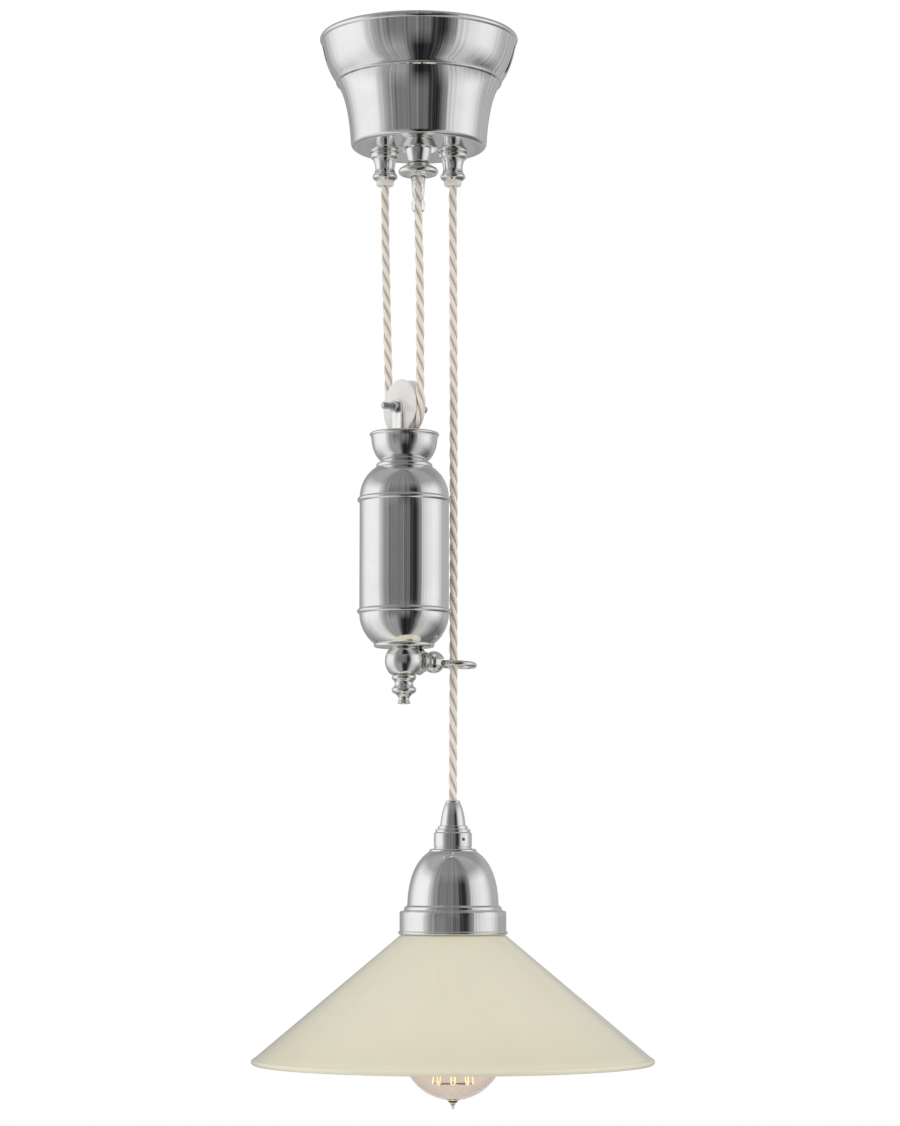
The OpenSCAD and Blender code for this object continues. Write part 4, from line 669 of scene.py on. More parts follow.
MIDDLE_H, MOUTH_R = 28.0, 14.9
middle_side = STEM[:2] + [(5, -WASHER_T), (FLANGE_R - 1, -WASHER_T)]
middle_side += curve((FLANGE_R - 0.8, -WASHER_T - 1), (FLANGE_R - 0.9, -9), (NECK_R + 1.4, -13),
                     (NECK_R + 0.2, -MIDDLE_H + 10.5), 18)
middle_side += curve((NECK_R + 0.3, -MIDDLE_H + 11), (NECK_R + 0.9, -MIDDLE_H + 8.2),
                     (MOUTH_R - 4.6, -MIDDLE_H + 7.6), (MOUTH_R - 1.9, -MIDDLE_H + 5.8), 14)
middle_side += arc(MOUTH_R - 2.7, -MIDDLE_H + 3.2, 2.7, 70, -90, 14)
middle_side += [(7, -MIDDLE_H + 0.5), (6.9, -MIDDLE_H + 0.5), (6.9, -MIDDLE_H + 7), (BORE_R, -MIDDLE_H + 7)]
turned("gland_middle", middle_side, (*MIDDLE_AT, -CANOPY_H), nickel, "nickel", "canopy", "middle_gland",
       steps=96)
softened("lock_nuts", "gland_nuts", 0.3, brass, "brass", "canopy")

# White nylon bushes keep the flex off the metal's edges.
BUSH_R, BUSH_H = 6.7, 4.0
bush_side = [(3.1, 6.8), (4.8, 6.8), (4.8, 0), (BUSH_R, 0)]
bush_side += arc(BUSH_R - 1.5, -BUSH_H + 1.5, 1.5, 0, -90, 10) + arc(3.7, -BUSH_H + 0.6, 0.6, -90, -180, 5)
for side_name, spot, nodes in (("left", LEFT_AT, ["gland_bushes"]), ("right", RIGHT_AT, [])):
    turned(f"bush_{side_name}", bush_side, (*spot, -CANOPY_H - GLAND_H), white_plastic, "white_plastic",
           "canopy", *nodes, steps=64)
bush_side = [(3.1, 6.8), (6.8, 6.8), (6.8, -0.1), (6.5, -0.4), (5.55, -0.4), (5.55, 5), (3.1, 5)]
turned("bush_middle", bush_side, (*MIDDLE_AT, -CANOPY_H - MIDDLE_H), white_plastic, "white_plastic",
       "canopy", steps=64)

# ---------------------------------------------------------------- strain relief
# A clear soft plastic sleeve in the middle gland's mouth. It tapers along the flex, so that the
# flex can't kink at the gland, and ends in a thicker bead that grips it.
clear_plastic = moulded("clear soft plastic", (0.97, 0.97, 0.97), (0.93, 0.93, 0.93), 0.06, grain=500.0,
                        Transmission_Weight=1.0, IOR=1.34)
sleeve_side = [(3.1, 4.9), (5.5, 4.9)] + curve((5.5, 0), (5.3, -6), (4.4, -12), (4, -18), 14)
sleeve_side += curve((4.1, -19), (5.4, -19.5), (5.4, -20.5), (5.4, -23), 8)
sleeve_side += curve((5.4, -23), (5.4, -25.5), (4.8, -27), (4, -27), 8) + [(3.1, -27)]
turned("strain_relief_sleeve", sleeve_side, (*MIDDLE_AT, -CANOPY_H - MIDDLE_H), clear_plastic,
       "clear_plastic", "canopy", "strain_relief", steps=64)

# ---------------------------------------------------------------- canopy pulley
# The upper pulley is porcelain, like the lower one, and turns on a steel axle in a folded yoke
# that the left and right lock nuts clamp to the canopy's floor.
porcelain = moulded("white glazed porcelain", (0.81, 0.80, 0.765), (0.76, 0.75, 0.715), 0.10, grain=120.0,
                    height=0.00004, Coat_Weight=0.6, Coat_Roughness=0.04)
PULLEY_W, HUB_R, HUB_RISE = 10.0, 7.5, 0.5


def pulley_profile(flange_r, cord_at, bore_r):
    """Half section of a grooved pulley; the groove's round follows the flex."""
    half = PULLEY_W / 2
    face = half + HUB_RISE
    groove = FLEX_R + 0.2
    right = [(bore_r, face), (HUB_R - 0.4, face), (HUB_R, face - 0.3), (HUB_R, half), (flange_r - 1.0, half)]
    right += arc(flange_r - 0.8, half - 0.8, 0.8, 80, 0, 6)
    right += arc(flange_r - 0.6, groove + 0.6, 0.6, 0, -90, 4) + [(cord_at, groove)]
    right += arc(cord_at, 0, groove, 90, 180, 12)[1:]
    return right + [(r, -z) for r, z in reversed(right[:-1])]


AROUND_Y = Matrix.Rotation(pi / 2, 4, "X")
turned("pulley_in_canopy", pulley_profile(26.5, 26.0, 3.05), (0, BACK_Y, UPPER_AXLE), porcelain, "porcelain",
       "canopy_pulley", "canopy_pulley", turn=AROUND_Y, steps=96, sharp=40)
softened("yoke", "pulley_yoke", 0.25, zinc, "zinced_steel", "canopy")
repaint(zinc, "canopy_axle", "axle_retaining_rings")

# ---------------------------------------------------------------- counterweight pulley
# A white porcelain pulley in the flex's loop, on a threaded steel axle that stands out on both
# sides. Two nuts hold the stirrup's ears; the stirrup is a strap bent to a U.
TO_AXLE = Matrix.Rotation(PULLEY_TURN, 4, "Z") @ Matrix.Rotation(-pi / 2, 4, "Y")
turned("pulley_on_counterweight", pulley_profile(21.0, GROOVE_R, 2.55), PULLEY_CENTRE, porcelain, "porcelain",
       "weight_pulley", "weight_pulley", turn=TO_AXLE, steps=96, sharp=40)

# The thread is cut from the axle's ends to where the nuts stop.
AXLE_R, PITCH = 2.5, 0.8
axle_side = [(0, 20), (1.9, 20), (AXLE_R, 19.4)]
z = 19.4
while z > 7.4:
    axle_side += [(AXLE_R, z - 0.1), (2.12, z - 0.45), (AXLE_R, z - 0.8)]
    z -= PITCH
axle_side += [(AXLE_R, 7.0)]
axle_side += [(r, -z) for r, z in reversed(axle_side)]
turned("pulley_axle", axle_side, PULLEY_CENTRE, zinc, "zinced_steel", "counterweight", "weight_axle",
       turn=TO_AXLE, steps=48, sharp=25)


def hex_nut(name, af, height, hole_r, at, turn):
    """A hexagon nut with its corners chamfered, a hole and a countersunk mouth on each side."""
    nut = cylinder(6, af / 2 / cos(pi / 6), height, (0, 0, height / 2))
    nut.name = name
    bpy.ops.object.transform_apply(location=True, rotation=True, scale=True)
    flat, corner, cut = af / 2 + 0.1, 0.62 * af, 0.072 * af
    chamfer = [(0, 0), (flat, 0), (corner, cut), (corner, height - cut), (flat, height), (0, height)]
    weld(nut, turn_profile("chamfer", chamfer, steps=48), "INTERSECT")
    mouth_r = hole_r + 0.7
    hole = [(0, -0.5), (mouth_r, -0.2), (hole_r, 0.5), (hole_r, height - 0.5), (mouth_r, height + 0.2),
            (0, height + 0.5)]
    weld(nut, turn_profile("hole", hole, steps=48), "DIFFERENCE")
    settle(nut, 25)
    return place(nut, at, turn)


NUT_H, EAR_GAP, EAR_T = 4.0, 0.3, 1.5
nut_out = PULLEY_W / 2 + HUB_RISE + EAR_GAP + EAR_T
front_nut = hex_nut("axle_nut_front", 8.0, NUT_H, 2.52, PULLEY_CENTRE + AXLE_DIR * nut_out, TO_AXLE)
back_nut = hex_nut("axle_nut_back", 8.0, NUT_H, 2.52, PULLEY_CENTRE - AXLE_DIR * (nut_out + NUT_H), TO_AXLE)
finish(front_nut, zinc, "zinced_steel", "counterweight", "weight_axle_nuts")
finish(back_nut, zinc, "zinced_steel", "counterweight")
softened("stirrup_strap", "stirrup", 0.3, nickel, "nickel", "counterweight")

# ---------------------------------------------------------------- cup
# The flared cup on top of the counterweight hides the foot of the stirrup. It is spun and
# plated, and the tie rod's nut clamps it together with the stirrup.
WEIGHT_AT = tuple(PULLEY_CENTRE)
CUP_R, CUP_FOOT_R, CUP_TOP, CUP_FOOT = 26.1, 16.6, -19.2, -41.5
cup_side = curve((CUP_R - 1.1, CUP_TOP - 2.8), (CUP_R - 1.5, CUP_FOOT + 9.5),
                 (CUP_FOOT_R + 4.9, CUP_FOOT + 3.5), (CUP_FOOT_R, CUP_FOOT), 24)
cup_bead = arc(CUP_R - 1.4, CUP_TOP - 1.4, 1.4, 190, -60, 20)
cup_wall = cup_side + [(8, CUP_FOOT), (0, CUP_FOOT)]
turned("cup", cup_bead + cup_wall[1:] + inset(cup_wall, 1.5)[::-1][:-1], WEIGHT_AT, nickel, "nickel",
       "counterweight", "weight_cup", steps=112, sharp=30)
repaint(zinc, "tie_rod", "tie_rod_nut")

# ---------------------------------------------------------------- counterweight
# A drawn and plated tube with a bead at each end, between two spun domes. A tie rod through the
# iron ballast inside draws the domes together.
TUBE_R, LIP_R, DOME_FOOT, SHEET = 33.5, 21.3, CUP_FOOT - 26.5, 1.5
top_plate = [(0, CUP_FOOT), (CUP_FOOT_R, CUP_FOOT)]
top_plate += curve((CUP_FOOT_R + 1.6, CUP_FOOT - 0.2), (LIP_R - 0.8, CUP_FOOT - 0.6), (LIP_R, CUP_FOOT - 1.6),
                   (LIP_R - 0.2, CUP_FOOT - 3.2), 10)
dome_side = curve((LIP_R, CUP_FOOT - 4), (LIP_R + 7.7, CUP_FOOT - 9), (TUBE_R - 0.2, CUP_FOOT - 17.5),
                  (TUBE_R, DOME_FOOT), 26)
dome_inside = inset(dome_side, SHEET)[::-1] + [(LIP_R - 2, CUP_FOOT - 5), (0, CUP_FOOT - SHEET)]
turned("dome_upper", top_plate + dome_side + dome_inside, WEIGHT_AT, nickel, "nickel", "counterweight",
       "weight_upper_dome", sharp=30)

TUBE_FOOT = DOME_FOOT - 88
tube_side = [(TUBE_R, DOME_FOOT)] + arc(TUBE_R - 0.3, DOME_FOOT - 2, 2, 80, -80, 16)
tube_side += [(TUBE_R, DOME_FOOT - 4.1), (TUBE_R, DOME_FOOT - 20), (TUBE_R, DOME_FOOT - 44)]
tube_side += [(TUBE_R, TUBE_FOOT + 20), (TUBE_R, TUBE_FOOT + 4.1)]
tube_side += arc(TUBE_R - 0.3, TUBE_FOOT + 2, 2, 80, -80, 16) + [(TUBE_R, TUBE_FOOT)]
tube_side += [(TUBE_R - SHEET, TUBE_FOOT), (TUBE_R - SHEET, DOME_FOOT)]
turned("weight_body", tube_side, WEIGHT_AT, nickel, "nickel", "counterweight", "weight_tube", steps=144,
       sharp=30)

BOWL_FOOT = TUBE_FOOT - 25
bowl_side = curve((TUBE_R, TUBE_FOOT), (TUBE_R, TUBE_FOOT - 8), (LIP_R + 8, BOWL_FOOT + 8),
                  (LIP_R + 1.2, BOWL_FOOT + 2.8), 26)
bowl_lip = arc(LIP_R - 0.1, BOWL_FOOT + 1.5, 1.5, 40, -90, 12) + [(10, BOWL_FOOT), (0, BOWL_FOOT)]
bowl_inside = [(0, BOWL_FOOT + SHEET), (LIP_R - 2, BOWL_FOOT + SHEET)] + inset(bowl_side, SHEET)[::-1]
turned("dome_lower", bowl_side + bowl_lip + bowl_inside, WEIGHT_AT, nickel, "nickel", "counterweight",
       "weight_lower_dome", sharp=30)
cast_iron = moulded("cast iron", (0.10, 0.10, 0.10), (0.06, 0.055, 0.05), 0.6, grain=400.0, height=0.0002)
repaint(cast_iron, "ballast")

# ---------------------------------------------------------------- ball and finial
# Solid turned pieces below the weight: a ball with two flats that takes the guide arm in its
# side, and a finial with two beads that screws into it from below.
BALL_R, HALF_BALL_H = 14.3, 10.1
BALL_Z, BALL_FOOT = BOWL_FOOT - HALF_BALL_H, BOWL_FOOT - 20.2
flat_r = sqrt(BALL_R ** 2 - HALF_BALL_H ** 2)
ball_side = [(0, BOWL_FOOT), (flat_r - 0.3, BOWL_FOOT), (flat_r, BOWL_FOOT - 0.2)]
ball_side += arc(0, BALL_Z, BALL_R, 44.9, -44.9, 30)[1:-1]
ball_side += [(flat_r, BOWL_FOOT - 20.0), (flat_r - 0.3, BALL_FOOT), (0, BALL_FOOT)]
turned("ball", ball_side, WEIGHT_AT, nickel, "nickel", "counterweight", "weight_ball", steps=96, sharp=30)

FIN_R, FIN_END_R, FIN_H = 9.2, 4.75, 22.0
fin_side = [(0, 0)] + arc(FIN_R - 2.2, -2.2, 2.2, 90, -64, 18)
fin_side += curve((FIN_R - 1.6, -4.8), (FIN_R - 2.6, -5.8), (FIN_R - 2.6, -7.4), (FIN_R - 1.8, -9), 10)
fin_side += arc(FIN_R - 2.5, -11.6, 2.5, 64, -56, 16)
fin_side += curve((FIN_R - 1.8, -14.1), (5.2, -15.4), (3.9, -16.8), (3.8, -18.6), 10)
fin_side += curve((3.85, -19), (4, -19.4), (FIN_END_R - 0.6, -FIN_H + 2.4),
                  (FIN_END_R - 0.2, -FIN_H + 1.8), 6)
fin_side += arc(FIN_END_R - 1, -FIN_H + 1, 1, 20, -90, 8) + [(0, -FIN_H)]
turned("finial_knob", fin_side, (WEIGHT_AT[0], WEIGHT_AT[1], WEIGHT_AT[2] + BALL_FOOT), nickel, "nickel",
       "counterweight", "finial", steps=80, sharp=40)

# ---------------------------------------------------------------- guide arm and ring
# A turned arm stands out of the ball towards the lamp's flex. The ball at its end is slotted
# level, and a pin through it lets a cast ring swing there. The flex runs through the ring.
ARM_TURN = atan2(BACK_Y - WEIGHT_AT[1], SIDE_X - WEIGHT_AT[0])
LAMP_OUT = hypot(BACK_Y - WEIGHT_AT[1], SIDE_X - WEIGHT_AT[0])
PIN_OUT, FORK_R, RING_TUBE = 26.0, 8.3, 2.1
ARM_BALL = (WEIGHT_AT[0], WEIGHT_AT[1], WEIGHT_AT[2] + BALL_Z)
TO_ARM = Matrix.Rotation(ARM_TURN, 4, "Z") @ Matrix.Rotation(pi / 2, 4, "Y")
root = BALL_R - 2.8
arm_side = [(0, 9.5), (8.6, root - 0.2), (9.5, root + 0.6)] + arc(9.4, root + 2.2, 0.8, -60, 80, 8)
arm_side += [(8.9, root + 3.1), (6.2, root + 3.3), (5.5, root + 3.8), (5.4, root + 4.6), (6.4, root + 4.9)]
arm_side += arc(6.6, root + 6.3, 1.1, -70, 70, 8) + [(6.2, root + 7.7), (5.4, root + 8.0)]
arm_side += arc(0, PIN_OUT, FORK_R, -42, 90, 26)
arm = turn_profile("guide_arm_turned", arm_side[:-1] + [(0, PIN_OUT + FORK_R)], steps=80, sharp=35)
place(arm, ARM_BALL, TO_ARM)


def arm_point(out):
    """A point on the arm's axis, this far from the ball's centre."""
    return Vector((ARM_BALL[0] + out * cos(ARM_TURN), ARM_BALL[1] + out * sin(ARM_TURN), ARM_BALL[2]))


# The slot in the arm's end is as high as the ring's eye with a little play, and 5.6 mm deep past the pin.
FORK_SLOT, SLOT_TOOL = 5.2, 30
bpy.ops.object.select_all(action="DESELECT")
bpy.ops.mesh.primitive_cube_add(size=1.0, location=arm_point(PIN_OUT - 5.6 + SLOT_TOOL / 2) * MM,
                                rotation=(0, 0, ARM_TURN))
slot_tool = bpy.context.object
slot_tool.scale = (SLOT_TOOL * MM, SLOT_TOOL * MM, FORK_SLOT * MM)
weld(arm, slot_tool, "DIFFERENCE")
settle(arm, 35)
round_edges(arm, 0.25)
finish(arm, nickel, "nickel", "counterweight", "guide_arm")

pin_side = [(0, 8.1), (1.2, 8.1), (1.5, 7.8), (1.5, -7.8), (1.2, -8.1), (0, -8.1)]
turned("guide_arm_pin", pin_side, arm_point(PIN_OUT), zinc, "zinced_steel", "counterweight", "guide_pin",
       steps=40)

# The ring and its eye, cast in one: the eye is a short cylinder drawn out until it meets the ring.
RING_OUT = LAMP_OUT + 3 - PIN_OUT
RING_R = 15.5 - RING_TUBE
bpy.ops.object.select_all(action="DESELECT")
bpy.ops.mesh.primitive_torus_add(location=(RING_OUT * MM, 0, 0), major_segments=112, minor_segments=28,
                                 major_radius=RING_R * MM, minor_radius=RING_TUBE * MM)
ring = bpy.context.object
ring.name = "guide_ring_cast"
bpy.ops.object.transform_apply(location=True, rotation=True, scale=True)
eye = cylinder(48, 4.6, 2 * RING_TUBE)
bpy.ops.object.mode_set(mode="EDIT")
bpy.ops.mesh.select_all(action="DESELECT")
bpy.ops.object.mode_set(mode="OBJECT")
for v in eye.data.vertices:
    v.select = v.co.x > 1e-6
bpy.ops.object.mode_set(mode="EDIT")
bpy.ops.mesh.extrude_region_move(TRANSFORM_OT_translate={"value": (0, 0, 0)})
bpy.ops.transform.translate(value=((RING_OUT - RING_R - 3.6) * MM, 0, 0))
bpy.ops.object.mode_set(mode="OBJECT")
settle(eye, 35)
round_edges(eye, 0.5, segments=3)
weld(ring, eye, "UNION")
ring.rotation_euler = (0, radians(3.0), 0)
select_only(ring)
bpy.ops.object.transform_apply(location=True, rotation=True, scale=True)
pin_hole = turn_profile("pin_hole", [(0, 6), (1.55, 6), (1.55, -6), (0, -6)], steps=40)
weld(ring, pin_hole, "DIFFERENCE")
settle(ring, 40)
place(ring, arm_point(PIN_OUT), Matrix.Rotation(ARM_TURN, 4, "Z"))
finish(ring, nickel, "nickel", "guide_ring", "guide_ring")

# ---------------------------------------------------------------- cord grip and collar
# A turned cone closes on the flex by a collet inside, and a stepped collar seats it on the cap.
# A small set screw in the collar's side stops it from coming undone.
LAMP_AT = (SIDE_X, BACK_Y, -582)
GRIP_TIP_R, GRIP_R, GRIP_H, TUBE_OUT_R = 5.4, 9.5, 18.8, 5.02
grip_side = [(3.1, 0), (GRIP_TIP_R - 0.6, 0)] + arc(GRIP_TIP_R - 0.6, -0.6, 0.6, 80, -30, 8)
grip_side += curve((GRIP_TIP_R - 0.1, -1.2), (GRIP_TIP_R + 1.9, -5), (GRIP_R - 0.6, -11),
                   (GRIP_R, -GRIP_H), 20)
grip_side += [(TUBE_OUT_R, -GRIP_H), (TUBE_OUT_R, -6), (3.1, -5)]
turned("grip_cone", grip_side, LAMP_AT, nickel, "nickel", "lamp", "cord_grip", steps=80)
repaint(white_plastic, "grip_collet")
repaint(brass, "threaded_tube", "tube_nut")
repaint(cream_flex, "lamp_cord_end")

COLLAR_R, CAP_TOP, SCREW_Z = 14.2, -35.8, -29.0
collar_side = [(TUBE_OUT_R, -GRIP_H), (COLLAR_R - 3.6, -GRIP_H)]
collar_side += arc(COLLAR_R - 3.6, -GRIP_H - 0.6, 0.6, 90, 0, 6)
collar_side += [(COLLAR_R - 3, -GRIP_H - 2.4), (COLLAR_R - 2.8, -GRIP_H - 2.6)]
collar_side += arc(COLLAR_R - 1.7, -GRIP_H - 3.2, 0.6, 90, 0, 6)
collar_side += [(COLLAR_R - 1.1, -GRIP_H - 4.8), (COLLAR_R - 0.9, -GRIP_H - 5.1)]
collar_side += arc(COLLAR_R - 0.8, -GRIP_H - 6, 0.8, 80, 0, 6)
collar_side += [(COLLAR_R, CAP_TOP + 1.6), (COLLAR_R - 0.5, CAP_TOP + 1.2), (COLLAR_R - 0.5, CAP_TOP + 0.8),
                (COLLAR_R + 0.1, CAP_TOP + 0.5), (COLLAR_R + 0.1, CAP_TOP), (TUBE_OUT_R, CAP_TOP)]
collar = turn_profile("collar", collar_side, steps=96)
screw_hole = turn_profile("screw_hole", [(0, 8), (1.3, 8), (1.3, 20), (0, 20)], steps=32)
screw_turn = Matrix.Rotation(radians(-56), 4, "Z") @ Matrix.Rotation(pi / 2, 4, "Y")
place(screw_hole, (0, 0, SCREW_Z), screw_turn)
weld(collar, screw_hole, "DIFFERENCE")
settle(collar, 35)
place(collar, LAMP_AT)
finish(collar, nickel, "nickel", "lamp", "cap_collar")
screw_side = [(0, 12.0), (0.6, 12.0), (0.6, 13.2), (0.9, 13.5), (1.25, 13.2), (1.25, 8.2), (0, 8.2)]
turned("collar_set_screw", screw_side, (LAMP_AT[0], LAMP_AT[1], LAMP_AT[2] + SCREW_Z), zinc, "zinced_steel",
       "lamp", turn=screw_turn, steps=32)

# ---------------------------------------------------------------- lamp cap
# A domed cap spun from one sheet, with a lip round the collar, two small steps and a straight
# band with a rolled bead at its foot. It covers the lampholder and the shade's neck.
CAP_R, CAP_LIP_R, BAND_R, CAP_WALL = 34.2, 17.8, 39.9, 1.2
LEDGE = CAP_TOP - 43
BAND_FOOT = LEDGE - 19.5
cap_side = [(TUBE_OUT_R, CAP_TOP), (COLLAR_R + 0.2, CAP_TOP)]
cap_side += curve((COLLAR_R + 1.6, CAP_TOP - 0.2), (CAP_LIP_R - 0.4, CAP_TOP - 0.3), (CAP_LIP_R, CAP_TOP - 1),
                  (CAP_LIP_R, CAP_TOP - 2.2), 10)
cap_flank = curve((CAP_LIP_R + 0.4, CAP_TOP - 2.5), (CAP_LIP_R + 10.2, CAP_TOP - 9.2),
                  (CAP_R - 0.4, CAP_TOP - 22.2), (CAP_R, LEDGE), 34)
# Each point of the steps is as far inside the band and below the ledge as it says here.
steps_in = ((4.1, 0.25), (3.6, 0.6), (3.4, 1.1), (3.4, 2.6), (3.1, 3.0), (1.4, 3.3), (0.5, 3.7),
            (0, 4.5), (0, 8))
cap_side += cap_flank[:-1] + [(CAP_R + 0.1, LEDGE + 0.7), (CAP_R + 0.5, LEDGE + 0.35)]
cap_side += [(BAND_R - inside, LEDGE - below) for inside, below in steps_in]
cap_side += [(BAND_R, BAND_FOOT + 4), (BAND_R, BAND_FOOT + 1.2)]
cap_side += arc(BAND_R - 0.4, BAND_FOOT, 1.4, 60, -215, 26)
cap_side += [(BAND_R - CAP_WALL, BAND_FOOT + 2), (BAND_R - CAP_WALL, LEDGE - 5), (BAND_R - 4.6, LEDGE - 4.2),
             (BAND_R - 4.6, LEDGE - 1.8), (CAP_R - CAP_WALL, LEDGE - 1)]
cap_side += inset(cap_flank, CAP_WALL)[::-1] + [(TUBE_OUT_R, CAP_TOP - CAP_WALL)]
turned("cap", cap_side, LAMP_AT, nickel, "nickel", "lamp", "lamp_cap", steps=144, sharp=32)

# ---------------------------------------------------------------- lampholder
# An E27 holder inside the cap: a spun brass cover, a skirt with a thread outside and a flange
# for the glass, a porcelain core, and a ring nut that draws the glass up against the flange.
SHADE_TOP = BAND_FOOT + 0.974
SKIRT_R, SKIRT_END = 19.8, SHADE_TOP - 34.0
repaint(brass, "holder_cover", "holder_contacts")
thread = [(18.6, SHADE_TOP + 1.5), (25.0, SHADE_TOP + 1.5), (25.0, SHADE_TOP), (SKIRT_R, SHADE_TOP)]
z = SHADE_TOP - 1.0
while z > SKIRT_END + 2.5:
    thread += [(SKIRT_R, z), (SKIRT_R - 0.15, z - 0.3), (SKIRT_R - 0.75, z - 0.75), (SKIRT_R - 0.15, z - 1.2)]
    z -= 1.5
thread += [(SKIRT_R, SKIRT_END + 0.5), (SKIRT_R - 0.4, SKIRT_END), (18.8, SKIRT_END), (18.6, SKIRT_END + 0.2)]
turned("lampholder_skirt", thread, LAMP_AT, brass, "brass", "lamp", "holder_skirt", steps=96, sharp=25)
softened("lampholder_core", "holder_core", 0.5, porcelain, "porcelain", "lamp")

NUT_TOP, GRIP_COUNT = SHADE_TOP - 4.0, 36
nut_side = [(19.85, NUT_TOP), (28.2, NUT_TOP), (28.5, NUT_TOP - 0.3), (28.5, NUT_TOP - 3.0)]
nut_side += arc(28.0, NUT_TOP - 3.0, 0.5, 0, -90, 6) + [(26.6, NUT_TOP - 3.5)]
nut_side += arc(26.0, NUT_TOP - 4.5, 0.5, 0, -90, 6) + [(20.4, NUT_TOP - 5.0), (19.85, NUT_TOP - 4.6)]
ring_nut = turn_profile("shade_nut", nut_side, steps=144, sharp=30)
grips = cylinder(24, 1.1, 4, (29.1, 0, NUT_TOP - 2.2))
bpy.ops.object.mode_set(mode="EDIT")
for k in range(1, GRIP_COUNT):
    bpy.ops.mesh.duplicate()
    bpy.ops.transform.rotate(value=radians(360 / GRIP_COUNT), orient_axis="Z", center_override=(0, 0, 0))
bpy.ops.object.mode_set(mode="OBJECT")
weld(ring_nut, grips, "DIFFERENCE")
settle(ring_nut, 30)
place(ring_nut, LAMP_AT)
finish(ring_nut, white_plastic, "white_plastic", "lamp", "shade_ring_nut")

# ---------------------------------------------------------------- glass shade
# One piece of pressed opal glass, cream and glossy: a flat top round the lampholder, a straight
# flank 4 mm thick, and an edge turned down to the vertical with a round lip.
SHADE_R, SHADE_TOP_R, SHADE_H, GLASS, LIP_TURN = 150.0, 36.0, 98.0, 4.0, 3.5
SLOPE = (SHADE_H - 5.5) / (SHADE_R - LIP_TURN - SHADE_TOP_R)
turn_r = SHADE_R - LIP_TURN
turn_z = -(turn_r - SHADE_TOP_R) * SLOPE
glass_line = [(20.6, 0), (29.5, 0)]
glass_line += curve((SHADE_TOP_R - 3, 0), (SHADE_TOP_R - 1, 0), (SHADE_TOP_R, 0),
                    (SHADE_TOP_R + 2, -2 * SLOPE), 10)
glass_line += [(SHADE_TOP_R + (turn_r - SHADE_TOP_R) * k / 12, -(turn_r - SHADE_TOP_R) * k / 12 * SLOPE)
               for k in range(1, 12)]
glass_line += curve((turn_r, turn_z), (turn_r + 1.6, turn_z - 1.6 * SLOPE), (SHADE_R, turn_z - 1.6),
                    (SHADE_R, -SHADE_H + 2.3), 14)
glass_line += [(SHADE_R, -SHADE_H + GLASS / 2)]
glass_lip = arc(SHADE_R - GLASS / 2, -SHADE_H + GLASS / 2, GLASS / 2, 0, -180, 18)


def opal_glass():
    """Cream opal glass: faint clouds in the body, a glossy skin with slight press waves."""
    material, tree, shader = new_material("cream opal glass", Roughness=0.16, IOR=1.5, Coat_Weight=0.5,
                                          Coat_Roughness=0.04, Subsurface_Weight=0.25, Subsurface_Scale=0.006)
    tone = ramp(tree, object_noise(tree, 9.0, Detail=4.0), (0.3, (0.775, 0.742, 0.585)),
                (0.7, (0.805, 0.772, 0.615)))
    # Painted shade, a little deeper in tone down the flank, and a painted highlight, paler on the turned lip
    axis = add_node(tree, "Mapping", Vector=add_node(tree, "TexCoord")["Object"], Scale=(1, 1, 0),
                    Location=(-LAMP_AT[0] * MM, -LAMP_AT[1] * MM, 0))
    out = add_node(tree, "VectorMath", {"operation": "LENGTH"}, Vector=axis["Vector"])["Value"]
    painted_flank_shade_and_lip_light = ramp(tree, math_node(tree, "DIVIDE", out, SHADE_R * MM), (0.75, 1.0),
                (0.955, (0.965, 0.955, 0.915)), (0.985, (1.01, 1.015, 1.01)))
    fill(tree, shader, Base_Color=multiply(tree, tone, painted_flank_shade_and_lip_light))
    relief(tree, shader, object_noise(tree, 22.0, Detail=1.0), 0.25, 0.0004)
    return material


turned("shade_glass", glass_line + glass_lip[1:] + inset(glass_line, GLASS)[::-1][1:],
       (LAMP_AT[0], LAMP_AT[1], LAMP_AT[2] + SHADE_TOP), opal_glass(), "opal_glass", "lamp", "glass_shade",
       steps=192, sharp=40)

# ---------------------------------------------------------------- bulb
# A globe bulb in the squirrel cage manner: blown glass with a faint gold tint drawn off to a tip
# below, a brass screw cap, and a hairpin filament hooked to and fro round a glass stem.
BULB_TOP = SHADE_TOP - 6.5
CAP_END = BULB_TOP - 27.0
GLOBE_R = 38.0
GLOBE_Z = BULB_TOP - 118.0 + GLOBE_R
NECK_R, SEAT_R, JOIN = 13.1, 12.7, radians(40)


def globe_line(wall, last, n):
    """The bulb's side from the cap to this angle round the globe, this far inside the outer face."""
    r = GLOBE_R - wall
    join = (r * sin(JOIN), GLOBE_Z + r * cos(JOIN))
    pull = (join[0] - 9 * cos(JOIN), join[1] + 9 * sin(JOIN))
    line = curve((SEAT_R - wall, CAP_END - 0.5), (SEAT_R - wall + 0.2, CAP_END - 10), pull, join, 22)
    for i in range(1, n + 1):
        a = JOIN + (last - JOIN) * i / n
        line.append((max(r * sin(a), 0.0), GLOBE_Z + r * cos(a)))
    return [(SEAT_R - wall, CAP_END + 2)] + line


outer = globe_line(0, pi - 0.14, 56)
tip_end = GLOBE_Z - GLOBE_R - 6.5
outer += curve((4.4, outer[-1][1] - 0.3), (2.8, tip_end + 4.8), (1.5, tip_end + 4.0),
               (1.0, tip_end + 1.3), 12)
outer += [(0.75, tip_end + 0.35), (0.4, tip_end + 0.05), (0, tip_end)]


def clear_glass(name, colour, blotch):
    """Blown glass: its tint varies a little and its skin is not quite even."""
    material, tree, shader = new_material(name, Roughness=0.0, IOR=1.45, Transmission_Weight=1.0)
    clouds = object_noise(tree, 30.0)
    fill(tree, shader, Base_Color=ramp(tree, clouds, (0.0, blotch), (1.0, colour)))
    relief(tree, shader, clouds, 0.2, 0.0001)
    return material


